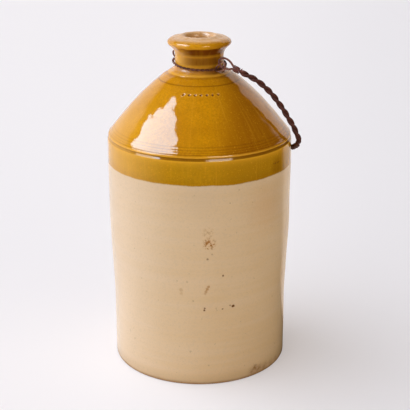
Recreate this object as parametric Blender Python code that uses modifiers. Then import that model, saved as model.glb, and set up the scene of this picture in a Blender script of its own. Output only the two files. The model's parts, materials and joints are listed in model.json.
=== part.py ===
"""Stoneware flagon with a wire collar round its neck and a twisted-wire bail handle.

Metres, +Z up, origin at the middle of the flat base. The flagon is two turned pieces, a
straight body and a conical shoulder with neck and lip, luted together in the groove under
the shoulder. Two wires twisted into a collar go round the neck and carry two wire eyes.
Two more wires are twisted into the bail: each makes the loop at one end, through an eye,
and a short binding closes each loop.
"""

import math

import bpy
import numpy as np

# Thrown body
BODY_RADIUS = 0.0860
FOOT_TAPER = 0.0029
FOOT_ROUND = 0.0025
BODY_HEIGHT = 0.2196
TAPER_TOP = 0.1680
TAPER_FOOT = 0.0620
WALL = 0.0065
FLOOR_THICKNESS = 0.0080

# Luted seam between body and shoulder
SEAM_GAP = 0.0003
GROOVE_DEPTH = 0.0020
GROOVE_HALF_HEIGHT = 0.0014

# Conical shoulder
SHOULDER_RISE = 0.0604
SHOULDER_BULGE = 0.0050
RIM_STEP = 0.0006
SCORE_DEPTH = 0.0006
SCORE_HALF_WIDTH = 0.0010
UPPER_SCORE_OUT = 0.0029
LOWER_SCORE_OUT = 0.0104

# Neck, lip and mouth
NECK_RADIUS = 0.0224
NECK_FILLET = 0.0046
NECK_HEIGHT = 0.0143
LIP_RADIUS = 0.0292
LIP_UNDERCUT = 0.0064
LIP_RISE = 0.0113
LIP_TOP_RISE = 0.0059
LIP_CROWN = 0.0019
LIP_EDGE_ANGLES = (50, 25, 0, -25)
BORE_RADIUS = 0.0132
MOUTH_ROUND = 0.0020

# Wire collar
COLLAR_WIRE_RADIUS = 0.00058
COLLAR_WIRE_GAP = 0.00014
COLLAR_TWISTS = 18
COLLAR_CLEARANCE = 0.0004
COLLAR_HEIGHT = 0.0063
COLLAR_BULGE_SHARPNESS = 6

# Collar eyes
EYE_WIRE_RADIUS = 0.00060
EYE_SEAT_GAP = 0.0002
EYE_RADIUS = 0.0039
PIVOT_RISE = 0.0055
AZIMUTH = math.radians(-50.0)

# Twisted bail
STRAND_RADIUS = 0.00105
STRAND_OFFSET = 0.00117
TWIST_PITCH = 0.0220
LIP_CLEARANCE = 0.00175
PIVOT_GAP = 0.0004
LOOP_LENGTH = 0.0190
LOOP_END_LENGTH = 0.0052
SETTLE_LENGTH = 0.0094
SLOPE_LEAD = 0.0020

# Marks that the bail passes through between the front pivot and its middle: degrees round the
# flagon from the pivot, share of the body's radius, share of the pivot's height over the seam
BAIL_MARKS = (
    (21.4, 0.498, 0.137),
    (28.9, 0.665, 0.255),
    (33.0, 0.810, 0.425),
    (35.2, 0.930, 0.625),
    (36.9, 1.040, 0.850),
    (38.6, 1.085, 0.985),
    (44.0, 1.070, 1.090),
    (52.0, 1.052, 1.170),
    (66.0, 1.050, 1.275),
    (90.0, 1.056, 1.350),
)

# Loop bindings
BINDING_WIRE_RADIUS = 0.00050
BINDING_GAP = 0.00025
BINDING_TURNS = 3.25
BINDING_TAIL = 0.0030

# Facets
TURNED_STEPS = 48
WIRE_BEVEL_STEPS = 1
ARC_POINTS = 5
CONE_POINTS = 9
LINE_POINTS = 400
LEAD_POINTS = 4
CUT_POINTS = 3
COLLAR_POINTS_PER_TWIST = 8
STRAND_POINTS_PER_TWIST = 10
LOOP_POINTS = 30
EYE_POINTS = 14
BINDING_POINTS_PER_TURN = 12
HEADING_STEP = 0.0005
MERGE_DISTANCE = 0.00001
EMPTY_SIZE = 0.02

# Colours and finishes
CREAM = (0.58, 0.39, 0.22)
OCHRE = (0.48, 0.21, 0.01)
IRON = (0.08, 0.03, 0.02)
COPPER = (0.16, 0.06, 0.035)
CREAM_ROUGHNESS = 0.35
OCHRE_ROUGHNESS = 0.15
WIRE_ROUGHNESS = 0.5
WIRE_METALLIC = 0.7

# Places worked out from the sizes above
SEAM_LEVEL = BODY_HEIGHT
FOOT_RADIUS = BODY_RADIUS - FOOT_TAPER
RIM_RADIUS = BODY_RADIUS - RIM_STEP
CONE_FOOT_LEVEL = SEAM_LEVEL + SEAM_GAP + GROOVE_HALF_HEIGHT
NECK_FOOT_RADIUS = NECK_RADIUS + NECK_FILLET
NECK_FOOT_LEVEL = CONE_FOOT_LEVEL + SHOULDER_RISE
NECK_TOP_LEVEL = NECK_FOOT_LEVEL + NECK_HEIGHT
LIP_WIDEST_LEVEL = NECK_TOP_LEVEL + LIP_RISE
LIP_TOP_LEVEL = LIP_WIDEST_LEVEL + LIP_TOP_RISE
COLLAR_LEVEL = NECK_FOOT_LEVEL + COLLAR_HEIGHT
COLLAR_OFFSET = COLLAR_WIRE_RADIUS + COLLAR_WIRE_GAP / 2
COLLAR_ENVELOPE = COLLAR_OFFSET + COLLAR_WIRE_RADIUS
COLLAR_RADIUS = NECK_RADIUS + COLLAR_CLEARANCE + COLLAR_ENVELOPE
EYE_SEAT_RADIUS = COLLAR_ENVELOPE + EYE_SEAT_GAP + EYE_WIRE_RADIUS
COLLAR_BULGE = 2 * EYE_WIRE_RADIUS + EYE_SEAT_GAP
EYE_REACH = LIP_RADIUS + LIP_CLEARANCE + STRAND_RADIUS
STRAND_SPACING = 2 * STRAND_OFFSET
LOOP_END_RADIUS = EYE_WIRE_RADIUS + PIVOT_GAP + STRAND_RADIUS
BUNDLE_RADIUS = STRAND_SPACING / math.sqrt(3) + STRAND_RADIUS
BINDING_RADIUS = BUNDLE_RADIUS + BINDING_GAP + BINDING_WIRE_RADIUS


def clear_scene():
    """Remove every object of the scene that is open."""
    for obj in list(bpy.data.objects):
        bpy.data.objects.remove(obj, do_unlink=True)


def make_material(name, colour, roughness, metallic):
    """Principled material of one colour."""
    material = bpy.data.materials.new(name)
    material.use_nodes = True
    shader = material.node_tree.nodes["Principled BSDF"]
    shader.inputs["Base Color"].default_value = (*colour, 1.0)
    shader.inputs["Roughness"].default_value = roughness
    shader.inputs["Metallic"].default_value = metallic
    return material


def place(obj, collection, material, parent=None):
    """Link an object into the collection, give it its material and hang it on its parent."""
    obj.data.materials.append(material)
    collection.objects.link(obj)
    obj.parent = parent
    return obj


def axis_empty(name, collection, location, turn=0.0, parent=None):
    """Empty that stands on a joint's axis and carries the pieces that turn about it."""
    empty = bpy.data.objects.new(name, None)
    empty.location = location
    empty.rotation_euler = (0.0, 0.0, turn)
    empty.empty_display_size = EMPTY_SIZE
    empty.parent = parent
    collection.objects.link(empty)
    return empty


def arc(centre, radius, start, end):
    """Points of a circular arc in the (radius, height) half plane, angles in degrees."""
    angles = np.radians(np.linspace(start, end, ARC_POINTS))
    return [(centre[0] + radius * math.cos(a), centre[1] + radius * math.sin(a)) for a in angles]


def turned(name, profile, ring, collection, material):
    """Solid of revolution of a profile that runs down its outer side."""
    mesh = bpy.data.meshes.new(name)
    count = len(profile)
    edges = [(i, i + 1) for i in range(count - 1)]
    if ring:
        edges.append((count - 1, 0))
    mesh.from_pydata([(r, 0.0, z) for r, z in profile], edges, [])
    obj = place(bpy.data.objects.new(name, mesh), collection, material)
    screw = obj.modifiers.new("turned", "SCREW")
    screw.axis = "Z"
    screw.steps = TURNED_STEPS
    screw.render_steps = TURNED_STEPS
    screw.use_merge_vertices = True
    screw.merge_threshold = MERGE_DISTANCE
    screw.use_smooth_shade = True
    return obj


def wire(name, points, radius, collection, material, parent, ring=False):
    """Round wire along a row of points, with closed ends unless it is a ring."""
    curve = bpy.data.curves.new(name, "CURVE")
    curve.dimensions = "3D"
    curve.bevel_depth = radius
    curve.bevel_resolution = WIRE_BEVEL_STEPS
    curve.use_fill_caps = not ring
    spline = curve.splines.new("POLY")
    spline.points.add(len(points) - 1)
    rows = np.column_stack([points, np.ones(len(points))])
    spline.points.foreach_set("co", rows.ravel())
    spline.use_cyclic_u = ring
    spline.use_smooth = True
    return place(bpy.data.objects.new(name, curve), collection, material, parent)


def body_profile():
    """Open jar: inside floor, inner wall, rim, then down the outer wall to the base."""
    inner = BODY_RADIUS - WALL
    foot_inner = FOOT_RADIUS - WALL
    rim = BODY_RADIUS - GROOVE_DEPTH
    points = [(0.0, FLOOR_THICKNESS)]
    points += arc((foot_inner - WALL, FLOOR_THICKNESS + WALL), WALL, -90, 0)
    points += [(foot_inner, TAPER_FOOT), (inner, TAPER_TOP)]
    points += [(inner, SEAM_LEVEL), (rim, SEAM_LEVEL)]
    edge_level = SEAM_LEVEL - GROOVE_HALF_HEIGHT
    points += arc((rim, edge_level - GROOVE_DEPTH / 2), GROOVE_DEPTH, 60, 0)
    points += [(BODY_RADIUS, TAPER_TOP), (FOOT_RADIUS, TAPER_FOOT)]
    points += arc((FOOT_RADIUS - FOOT_ROUND, FOOT_ROUND), FOOT_ROUND, 0, -90)
    points += [(0.0, 0.0)]
    return points


def bulge(share):
    """Height of the shoulder's arched slope above its straight line, highest half way."""
    return SHOULDER_BULGE * 4 * share * (1 - share)


def cone_point(share):
    """Point of the shoulder's outer face, from its rim (0) to the neck (1): a bulged slope."""
    radius = RIM_RADIUS + (NECK_FOOT_RADIUS - RIM_RADIUS) * share
    level = CONE_FOOT_LEVEL + SHOULDER_RISE * share
    return radius, level + bulge(share)


def score(out):
    """Three points of a scored ring in the shoulder, a distance out from the neck's foot."""
    run = RIM_RADIUS - NECK_FOOT_RADIUS
    points = []
    for step, depth in ((-1, 0.0), (0, SCORE_DEPTH), (1, 0.0)):
        radius, level = cone_point(1 - (out + step * SCORE_HALF_WIDTH) / run)
        points.append((radius, level - depth))
    return points


def shoulder_profile():
    """Ring: from the mouth over the lip, down neck and cone to the seam, and up inside."""
    run = RIM_RADIUS - NECK_FOOT_RADIUS
    edge_out = LIP_RADIUS - NECK_RADIUS - LIP_UNDERCUT / 2
    points = arc((BORE_RADIUS + MOUTH_ROUND, LIP_TOP_LEVEL - MOUTH_ROUND), MOUTH_ROUND, 180, 90)
    points += [(LIP_RADIUS - edge_out, LIP_TOP_LEVEL - LIP_CROWN)]
    corner = (LIP_RADIUS - edge_out, LIP_WIDEST_LEVEL)
    for angle in LIP_EDGE_ANGLES:
        turn = math.radians(angle)
        lift = (LIP_TOP_RISE - LIP_CROWN) * math.sin(turn)
        points.append((corner[0] + edge_out * math.cos(turn), corner[1] + lift))
    points += arc((NECK_RADIUS + LIP_UNDERCUT, NECK_TOP_LEVEL), LIP_UNDERCUT, 120, 180)
    points += arc((NECK_FOOT_RADIUS, NECK_FOOT_LEVEL + NECK_FILLET), NECK_FILLET, 180, 240)
    points += score(UPPER_SCORE_OUT) + score(LOWER_SCORE_OUT)
    first_share = 1 - (LOWER_SCORE_OUT + 2 * SCORE_HALF_WIDTH) / run
    points += [cone_point(share) for share in np.linspace(first_share, 0.0, CONE_POINTS)]
    rim = BODY_RADIUS - GROOVE_DEPTH
    base = SEAM_LEVEL + SEAM_GAP
    inner = BODY_RADIUS - WALL
    points += [(rim, base), (inner, base)]
    inner_run = inner - BORE_RADIUS
    inner_rise = NECK_FOOT_LEVEL - WALL / 2 - base
    for share in np.linspace(0.0, 1.0, CONE_POINTS)[1:]:
        level = base + inner_rise * share + bulge(share)
        points.append((inner - inner_run * share, level))
    return points


def collar_points(phase):
    """One wire of the twisted collar; the collar stands out a little where the eyes grip it."""
    count = COLLAR_TWISTS * COLLAR_POINTS_PER_TWIST
    around = np.arange(count) * 2 * math.pi / count
    twist = around * COLLAR_TWISTS + phase
    stand_out = COLLAR_BULGE * np.cos(around) ** COLLAR_BULGE_SHARPNESS
    radius = COLLAR_RADIUS + stand_out + COLLAR_OFFSET * np.cos(twist)
    level = COLLAR_OFFSET * np.sin(twist)
    return np.column_stack([radius * np.cos(around), radius * np.sin(around), level])


def eye_points(side):
    """Wire link round the collar and the pivot: a belt round a small and a large circle."""
    small = np.array([COLLAR_RADIUS + COLLAR_BULGE, 0.0])
    large = np.array([EYE_REACH, PIVOT_RISE - EYE_RADIUS])
    gap = large - small
    lean = math.atan2(gap[1], gap[0])
    wrap = math.acos((EYE_SEAT_RADIUS - EYE_RADIUS) / math.hypot(*gap))
    outer = np.linspace(lean - wrap, lean + wrap, EYE_POINTS)
    inner = np.linspace(lean + wrap, lean - wrap + 2 * math.pi, EYE_POINTS)
    rows = [large + EYE_RADIUS * np.array([math.cos(a), math.sin(a)]) for a in outer]
    rows += [small + EYE_SEAT_RADIUS * np.array([math.cos(a), math.sin(a)]) for a in inner]
    rows = np.array(rows)
    return np.column_stack([side * rows[:, 0], np.zeros(len(rows)), rows[:, 1]])


def smooth_curve(marks, count):
    """Curve through marks; at each one it heads along the line between its neighbours."""
    gaps = np.linalg.norm(np.diff(marks, axis=0), axis=1)
    knots = np.concatenate([[0.0], np.cumsum(gaps)])
    heading = np.gradient(marks, knots, axis=0)
    at = np.linspace(0.0, knots[-1], count)
    first = np.clip(np.searchsorted(knots, at, side="right") - 1, 0, len(gaps) - 1)
    span = gaps[first, None]
    share = (at - knots[first])[:, None] / span
    rest = 1 - share
    start = (1 + 2 * share) * rest**2 * marks[first] + share * rest**2 * span * heading[first]
    end = (1 + 2 * rest) * marks[first + 1] - rest * span * heading[first + 1]
    return start + share**2 * end


class BailLine:
    """Middle line of the bail, from pivot to pivot, and the frame that goes along it.

    The line is a hoop that stands off the shoulder and goes round the body: a smooth curve
    through BAIL_MARKS and their mirror images. Its own coordinates are the distance along
    the line, w away from the flagon and b across the line.
    """

    def __init__(self):
        turn, radius, drop = np.array(BAIL_MARKS).T
        turn = np.radians(turn)
        radius = radius * BODY_RADIUS
        drop = drop * (COLLAR_LEVEL + PIVOT_RISE - SEAM_LEVEL)
        half = np.column_stack([radius * np.cos(turn), radius * np.sin(turn), -drop])
        half = np.vstack([[EYE_REACH, 0.0, 0.0], half])
        mirrored = half[-2::-1] * np.array([-1.0, 1.0, 1.0])
        self.curve = smooth_curve(np.vstack([half, mirrored]), LINE_POINTS)
        steps = np.linalg.norm(np.diff(self.curve, axis=0), axis=1)
        self.along = np.concatenate([[0.0], np.cumsum(steps)])
        self.length = float(self.along[-1])
        self.lead = SLOPE_LEAD * half[1] / np.hypot(*half[1, 1:])

    def at(self, distance):
        """Points of the line at distances from the front pivot, held at its two ends."""
        inside = np.clip(distance, 0.0, self.length)
        return np.column_stack([np.interp(inside, self.along, row) for row in self.curve.T])

    def frame(self, distance):
        """Points, along, out and across directions at distances from the front pivot."""
        distance = np.asarray(distance, float)
        inside = np.clip(distance, 0.0, self.length)
        along = self.at(inside + HEADING_STEP) - self.at(inside - HEADING_STEP)
        along /= np.linalg.norm(along, axis=1)[:, None]
        points = self.at(inside)
        slope = np.arctan2(-points[:, 2] - self.lead[2], points[:, 1] + self.lead[1])
        away = np.column_stack([np.zeros(len(slope)), np.sin(slope), np.cos(slope)])
        out = away - (away * along).sum(axis=1)[:, None] * along
        out /= np.linalg.norm(out, axis=1)[:, None]
        points = points + along * (distance - inside)[:, None]
        return points, along, out, np.cross(out, along)

    def points(self, rows, from_rear):
        """Place (distance, w, b) rows, measured from the front pivot or from the rear one."""
        distance = self.length - rows[:, 0] if from_rear else rows[:, 0]
        across_sign = -1.0 if from_rear else 1.0
        points, _, out, across = self.frame(distance)
        return points + out * rows[:, 1:2] + across * (across_sign * rows[:, 2:3])


def smooth_step(value):
    """Rise from 0 to 1 with level ends."""
    value = np.clip(value, 0.0, 1.0)
    return value * value * (3 - 2 * value)


def loop_rows():
    """Teardrop loop round the pivot, from the lower leg over the closed end to the upper leg."""
    length = LOOP_LENGTH + LOOP_END_RADIUS
    width = math.sqrt(LOOP_END_RADIUS * length / 2)
    first = math.sqrt(2 * STRAND_OFFSET / width)
    turn = np.linspace(2 * math.pi - first, first, LOOP_POINTS)
    distance = length * (1 + np.cos(turn)) / 2 - LOOP_END_RADIUS
    return np.column_stack([distance, width * np.sin(turn) * np.sin(turn / 2), np.zeros(LOOP_POINTS)])


def strand_rows(line):
    """One strand: cut end beside the neck, loop, straight neck, twisted rope, far neck.

    Under a binding three wires lie in a triangle: this strand, its own cut end and the
    other strand. From there the pair moves to the middle line and begins to twist.
    """
    loop = loop_rows()
    neck = float(loop[-1, 0])
    twist_start = neck + LOOP_END_LENGTH + STRAND_RADIUS
    twist_end = line.length - twist_start
    turns = round((twist_end - twist_start) / TWIST_PITCH) + 1 / 6
    count = int(turns * STRAND_POINTS_PER_TWIST) + 1
    lead = np.linspace(neck + STRAND_RADIUS, twist_start, LEAD_POINTS)[:-1]
    rope = np.linspace(twist_start, twist_end, count)
    tail = line.length - lead[::-1]
    distance = np.concatenate([lead, rope, tail])
    share = np.clip((distance - twist_start) / (twist_end - twist_start), 0.0, 1.0)
    angle = math.pi / 3 + 2 * math.pi * turns * share
    near = 1 - smooth_step((distance - twist_start) / SETTLE_LENGTH)
    far = 1 - smooth_step((twist_end - distance) / SETTLE_LENGTH)
    side = STRAND_OFFSET * math.sqrt(3) / 2
    w = STRAND_OFFSET * np.cos(angle) + STRAND_OFFSET / 2 * (near + far)
    b = STRAND_OFFSET * np.sin(angle) - side * near + side * far
    cut_end = np.linspace(neck + LOOP_END_LENGTH, neck + STRAND_RADIUS, CUT_POINTS)
    cut = np.column_stack([cut_end, np.full(CUT_POINTS, -STRAND_OFFSET), np.zeros(CUT_POINTS)])
    return np.concatenate([cut, loop, np.column_stack([distance, w, b])])


def binding_rows():
    """Coil of thin wire round the neck of a loop, ending in a short cut tail."""
    neck = float(loop_rows()[-1, 0])
    count = int(BINDING_TURNS * BINDING_POINTS_PER_TURN) + 1
    turn = np.linspace(0.0, 2 * math.pi * BINDING_TURNS, count)
    pitch = 2 * BINDING_WIRE_RADIUS + BINDING_GAP
    distance = neck + STRAND_RADIUS + turn / (2 * math.pi) * pitch
    middle = -STRAND_SPACING / (2 * math.sqrt(3))
    w = BINDING_RADIUS * np.cos(turn)
    b = middle + BINDING_RADIUS * np.sin(turn)
    rows = np.column_stack([distance, w, b])
    run = rows[-1] - rows[-2]
    leave = run / np.linalg.norm(run) + np.array([0.0, math.cos(turn[-1]), math.sin(turn[-1])])
    tip = rows[-1] + BINDING_TAIL * leave / np.linalg.norm(leave)
    return np.vstack([rows, tip])


def main():
    """Build the flagon, its collar and its bail at rest."""
    clear_scene()
    parts = bpy.data.collections.new("stoneware_flagon")
    bpy.context.scene.collection.children.link(parts)

    cream = make_material("cream_stoneware", CREAM, CREAM_ROUGHNESS, 0.0)
    ochre = make_material("ochre_glaze", OCHRE, OCHRE_ROUGHNESS, 0.0)
    iron = make_material("brown_iron_wire", IRON, WIRE_ROUGHNESS, WIRE_METALLIC)
    copper = make_material("copper_brown_wire", COPPER, WIRE_ROUGHNESS, WIRE_METALLIC)

    turned("stoneware_body", body_profile(), False, parts, cream)
    turned("stoneware_shoulder", shoulder_profile(), True, parts, ochre)

    collar_axis = axis_empty("collar_axis", parts, (0.0, 0.0, COLLAR_LEVEL), AZIMUTH)
    for name, phase in (("collar_wire_a", 0.0), ("collar_wire_b", math.pi)):
        wire(name, collar_points(phase), COLLAR_WIRE_RADIUS, parts, iron, collar_axis, ring=True)
    for name, side in (("front_collar_eye", 1.0), ("rear_collar_eye", -1.0)):
        wire(name, eye_points(side), EYE_WIRE_RADIUS, parts, copper, collar_axis, ring=True)

    bail_axis = axis_empty("bail_axis", parts, (0.0, 0.0, PIVOT_RISE), parent=collar_axis)
    line = BailLine()
    for end, letter, from_rear in (("front", "a", False), ("rear", "b", True)):
        strand = line.points(strand_rows(line), from_rear)
        wire(f"bail_wire_{letter}", strand, STRAND_RADIUS, parts, iron, bail_axis)
        binding = line.points(binding_rows(), from_rear)
        wire(f"{end}_eye_binding", binding, BINDING_WIRE_RADIUS, parts, copper, bail_axis)


main()
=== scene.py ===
"""Stoneware flagon with a wire collar and a twisted-wire bail: its fine surface, finish and studio.

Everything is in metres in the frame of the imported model: +Z up, origin at the middle of the
base, the camera in front at -Y. Azimuths are degrees from the front, positive towards +X.
Each sub-assembly is a class that holds its sizes, works out its surfaces as whole arrays and
dresses them; each finish is a small class that builds one procedural material.
"""

from __future__ import annotations

import json
import logging
import math
from dataclasses import dataclass
from enum import Enum

import bpy
import numpy as np
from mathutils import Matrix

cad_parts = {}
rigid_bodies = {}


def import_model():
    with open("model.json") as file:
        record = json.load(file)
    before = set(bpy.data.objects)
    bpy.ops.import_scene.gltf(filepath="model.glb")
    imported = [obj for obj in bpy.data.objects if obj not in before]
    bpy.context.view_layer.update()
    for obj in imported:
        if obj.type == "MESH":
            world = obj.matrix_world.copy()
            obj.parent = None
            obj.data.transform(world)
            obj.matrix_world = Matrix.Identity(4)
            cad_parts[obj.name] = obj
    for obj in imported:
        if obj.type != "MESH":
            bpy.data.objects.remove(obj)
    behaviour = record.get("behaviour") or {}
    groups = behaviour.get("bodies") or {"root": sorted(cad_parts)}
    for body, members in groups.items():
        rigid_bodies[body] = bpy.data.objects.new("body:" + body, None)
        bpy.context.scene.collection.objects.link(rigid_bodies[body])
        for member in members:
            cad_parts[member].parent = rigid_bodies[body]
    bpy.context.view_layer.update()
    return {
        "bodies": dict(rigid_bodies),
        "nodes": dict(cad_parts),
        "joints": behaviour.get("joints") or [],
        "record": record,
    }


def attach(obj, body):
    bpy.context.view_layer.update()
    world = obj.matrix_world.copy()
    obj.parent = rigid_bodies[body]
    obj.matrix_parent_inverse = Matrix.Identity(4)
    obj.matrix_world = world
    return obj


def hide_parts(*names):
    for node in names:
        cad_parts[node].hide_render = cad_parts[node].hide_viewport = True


Array = np.ndarray
Pair = tuple[float, float]
Point = tuple[float, float, float]
Edge = tuple[Point, float, float]
Colour = tuple[float, float, float]
Mark = tuple[float, float, float, float]
Material = bpy.types.Material
Socket = bpy.types.NodeSocket
Value = Socket | float
Tone = Socket | Colour

WEAR = "wear"
log = logging.getLogger("flagon")


class Body(Enum):
    """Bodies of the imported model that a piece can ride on."""

    FLAGON = "flagon"
    COLLAR = "collar"
    BAIL = "bail"


class Slot(Enum):
    """Material slots of the record."""

    CREAM = "cream_stoneware"
    OCHRE = "ochre_glaze"
    COLLAR = "collar_wire"
    EYE = "eye_wire"
    BAIL = "bail_wire"
    BINDING = "binding_wire"


class End(Enum):
    """Ends of the bail, each with its side of the pivot axis."""

    FRONT = 1
    REAR = -1


# Arrays and meshes


def unit(vectors: Array) -> Array:
    """Rows of vectors, each scaled to length one."""
    return vectors / np.linalg.norm(vectors, axis=-1, keepdims=True)


def smooth_step(value: Array) -> Array:
    """Rise from 0 to 1 with level ends, 3v^2 - 2v^3."""
    value = np.clip(value, 0.0, 1.0)
    return value * value * (3 - 2 * value)


def bell(distance: Array, width: float) -> Array:
    """Bell curve of height one: exp of minus the square of distance over width."""
    return np.exp(-((distance / width) ** 2))


def arc(centre: Pair, radius: float, start: float, end: float, count: int) -> Array:
    """Points of a circular arc in the (radius, height) half plane.

    Args:
        centre: middle of the circle.
        radius: radius of the circle.
        start: first angle in degrees, 0 pointing outwards and 90 up.
        end: last angle in degrees.
        count: number of points.

    Returns:
        (count, 2) points.
    """
    angles = np.radians(np.linspace(start, end, count))
    return np.array(centre) + radius * np.column_stack([np.cos(angles), np.sin(angles)])


def spline(points: Array, count: int) -> Array:
    """Smooth curve through points.

    Between two of them it is a cubic that at each heads along the line between its neighbours.

    Args:
        points: (n, 2) or (n, 3) points to pass through.
        count: number of points on each stretch.

    Returns:
        (n - 1) * count + 1 points.
    """
    slopes = np.gradient(points, walked(points), axis=0)
    share = np.linspace(0.0, 1.0, count, endpoint=False)[None, :, None]
    start, end = points[:-1, None], points[1:, None]
    gap = np.linalg.norm(end - start, axis=2)[..., None]
    leave, arrive = slopes[:-1, None] * gap, slopes[1:, None] * gap
    square, cube = share**2, share**3
    curve = (2 * cube - 3 * square + 1) * start + (cube - 2 * square + share) * leave
    curve = curve + (3 * square - 2 * cube) * end + (cube - square) * arrive
    return np.vstack([curve.reshape(-1, points.shape[1]), points[-1:]])


def walked(points: Array) -> Array:
    """Distance walked along a row of points, starting at 0."""
    return np.concatenate([[0.0], np.cumsum(np.linalg.norm(np.diff(points, axis=0), axis=1))])


def along_path(points: Array, distance: Array) -> Array:
    """Points at given walked distances, each coordinate read off by straight lines between."""
    walk = walked(points)
    return np.column_stack([np.interp(distance, walk, column) for column in points.T])


def softened(points: Array, spread: int) -> Array:
    """Row of points averaged with a bell-shaped window, its ends held by mirroring it there.

    Args:
        points: (n, columns) points.
        spread: width of the window, in points.

    Returns:
        As many points.
    """
    window = bell(np.arange(-2 * spread, 2 * spread + 1), spread)
    window = window / window.sum()
    border = ((2 * spread, 2 * spread), (0, 0))
    padded = np.pad(points, border, mode="reflect", reflect_type="odd")
    return np.column_stack([np.convolve(column, window, mode="valid") for column in padded.T])


def eased(points: Array, reach: float) -> Array:
    """Outline with its corners rounded off over a reach, walked in even steps.

    Args:
        points: (n, 2) corners of the outline.
        reach: distance over which a corner is spread.

    Returns:
        The walked points and the last corner.
    """
    steps = 8
    even = along_path(points, np.arange(0.0, walked(points)[-1], reach / steps))
    return np.vstack([softened(even, steps), points[-1:]])


@dataclass
class Surface:
    """Grid of points, with the way its edges join.

    The face between rows i, i+1 and columns j, j+1 turns from the columns to the rows, so a
    surface points outwards if that turn does. Columns always close into a ring.
    """

    points: Array
    ring_rows: bool = False
    first_pole: Array | None = None
    last_pole: Array | None = None

    def vertices(self) -> Array:
        """All points as (n, 3), the poles after the grid."""
        poles = [pole[None] for pole in (self.first_pole, self.last_pole) if pole is not None]
        return np.vstack([self.points.reshape(-1, 3), *poles])

    def faces(self) -> tuple[Array, Array]:
        """Faces of the surface, as numbers of its vertices.

        Returns:
            Quads of the grid and triangles round its poles.
        """
        rows, columns = self.points.shape[:2]
        index = np.arange(rows * columns).reshape(rows, columns)
        index = np.hstack([index, index[:, :1]])
        ends = index[[0, -1]]
        if self.ring_rows:
            index = np.vstack([index, index[:1]])
        quads = np.stack([index[:-1, :-1], index[:-1, 1:], index[1:, 1:], index[1:, :-1]], axis=-1)
        triangles = []
        pole = rows * columns
        if self.first_pole is not None:
            triangles.append(np.stack([np.full(columns, pole), ends[0, 1:], ends[0, :-1]], axis=-1))
            pole += 1
        if self.last_pole is not None:
            triangles.append(np.stack([np.full(columns, pole), ends[1, :-1], ends[1, 1:]], axis=-1))
        return quads.reshape(-1, 4), np.vstack(triangles) if triangles else np.empty((0, 3), int)


def fill_mesh(mesh: bpy.types.Mesh, surfaces: list[Surface]) -> None:
    """Put surfaces into one mesh, shaded smooth.

    Args:
        mesh: empty mesh to fill.
        surfaces: the surfaces, each a closed shell of its own.
    """
    loops = []
    lengths = []
    offset = 0
    for surface in surfaces:
        quads, triangles = surface.faces()
        loops += [(quads + offset).ravel(), (triangles + offset).ravel()]
        lengths += [np.full(len(quads), 4), np.full(len(triangles), 3)]
        offset += len(surface.vertices())
    vertices = np.vstack([surface.vertices() for surface in surfaces])
    lengths = np.concatenate(lengths)
    corners = np.concatenate(loops)
    mesh.vertices.add(len(vertices))
    mesh.vertices.foreach_set("co", vertices.astype(np.float32).ravel())
    mesh.loops.add(len(corners))
    mesh.loops.foreach_set("vertex_index", corners.astype(np.int32))
    mesh.polygons.add(len(lengths))
    mesh.polygons.foreach_set("loop_start", (np.cumsum(lengths) - lengths).astype(np.int32))
    mesh.polygons.foreach_set("use_smooth", np.ones(len(lengths), bool))
    mesh.update(calc_edges=True)
    mesh.validate()


def tube(
    path: Array,
    radius: float | Array,
    reference: Array,
    sides: int,
    ring: bool = False,
    lobes: float | Array = 0.0,
    spin: float | Array = 0.0,
) -> Surface:
    """Wire: a circle, or a circle with two lobes, carried along the path in the plane across it.

    The circle starts at the reference direction made square to the path. At an angle a from
    there its radius is r (1 + lobes cos 2(a - spin)). An open wire ends in two rows that draw
    in to a pole, as a cut end that has been rubbed round.

    Args:
        path: (n, 3) middle line.
        radius: radius of the wire, or one for each point.
        reference: direction, or (n, 3) directions, never along the path.
        sides: points round the circle.
        ring: whether the path closes on itself.
        lobes: how far the two lobes stand out, as a share of the radius.
        spin: angle of the lobes.

    Returns:
        The wire's surface.
    """
    if ring:
        heading = unit(np.roll(path, -1, axis=0) - np.roll(path, 1, axis=0))
    else:
        heading = unit(np.gradient(path, axis=0))
    reference = np.broadcast_to(reference, path.shape)
    side = unit(reference - (reference * heading).sum(axis=1, keepdims=True) * heading)
    rise = np.cross(heading, side)
    turn = np.linspace(0.0, 2 * np.pi, sides, endpoint=False)
    section = np.column_stack([np.broadcast_to(row, len(path)) for row in (radius, lobes, spin)])
    first = last = None
    if not ring:
        draw_in = np.array([0.55, 0.85])
        push_out = np.array([0.60, 0.40])
        tip = 0.68
        start, stop = section[[0, -1], 0]
        back = path[0] - start * push_out[:, None] * heading[0]
        front = path[-1] + stop * push_out[::-1, None] * heading[-1]
        first = path[0] - tip * start * heading[0]
        last = path[-1] + tip * stop * heading[-1]
        path = np.vstack([back, path, front])
        ends = ((2, 2), (0, 0))
        side, rise, section = (np.pad(block, ends, mode="edge") for block in (side, rise, section))
        section[:2, 0] *= draw_in
        section[-2:, 0] *= draw_in[::-1]
    size, lobe, lead = section[:, 0, None], section[:, 1, None], section[:, 2, None]
    radii = (size * (1 + lobe * np.cos(2 * (turn - lead))))[..., None]
    turn = turn[:, None]
    circle = np.cos(turn) * side[:, None] + np.sin(turn) * rise[:, None]
    return Surface(path[:, None] + radii * circle, ring, first, last)


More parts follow.
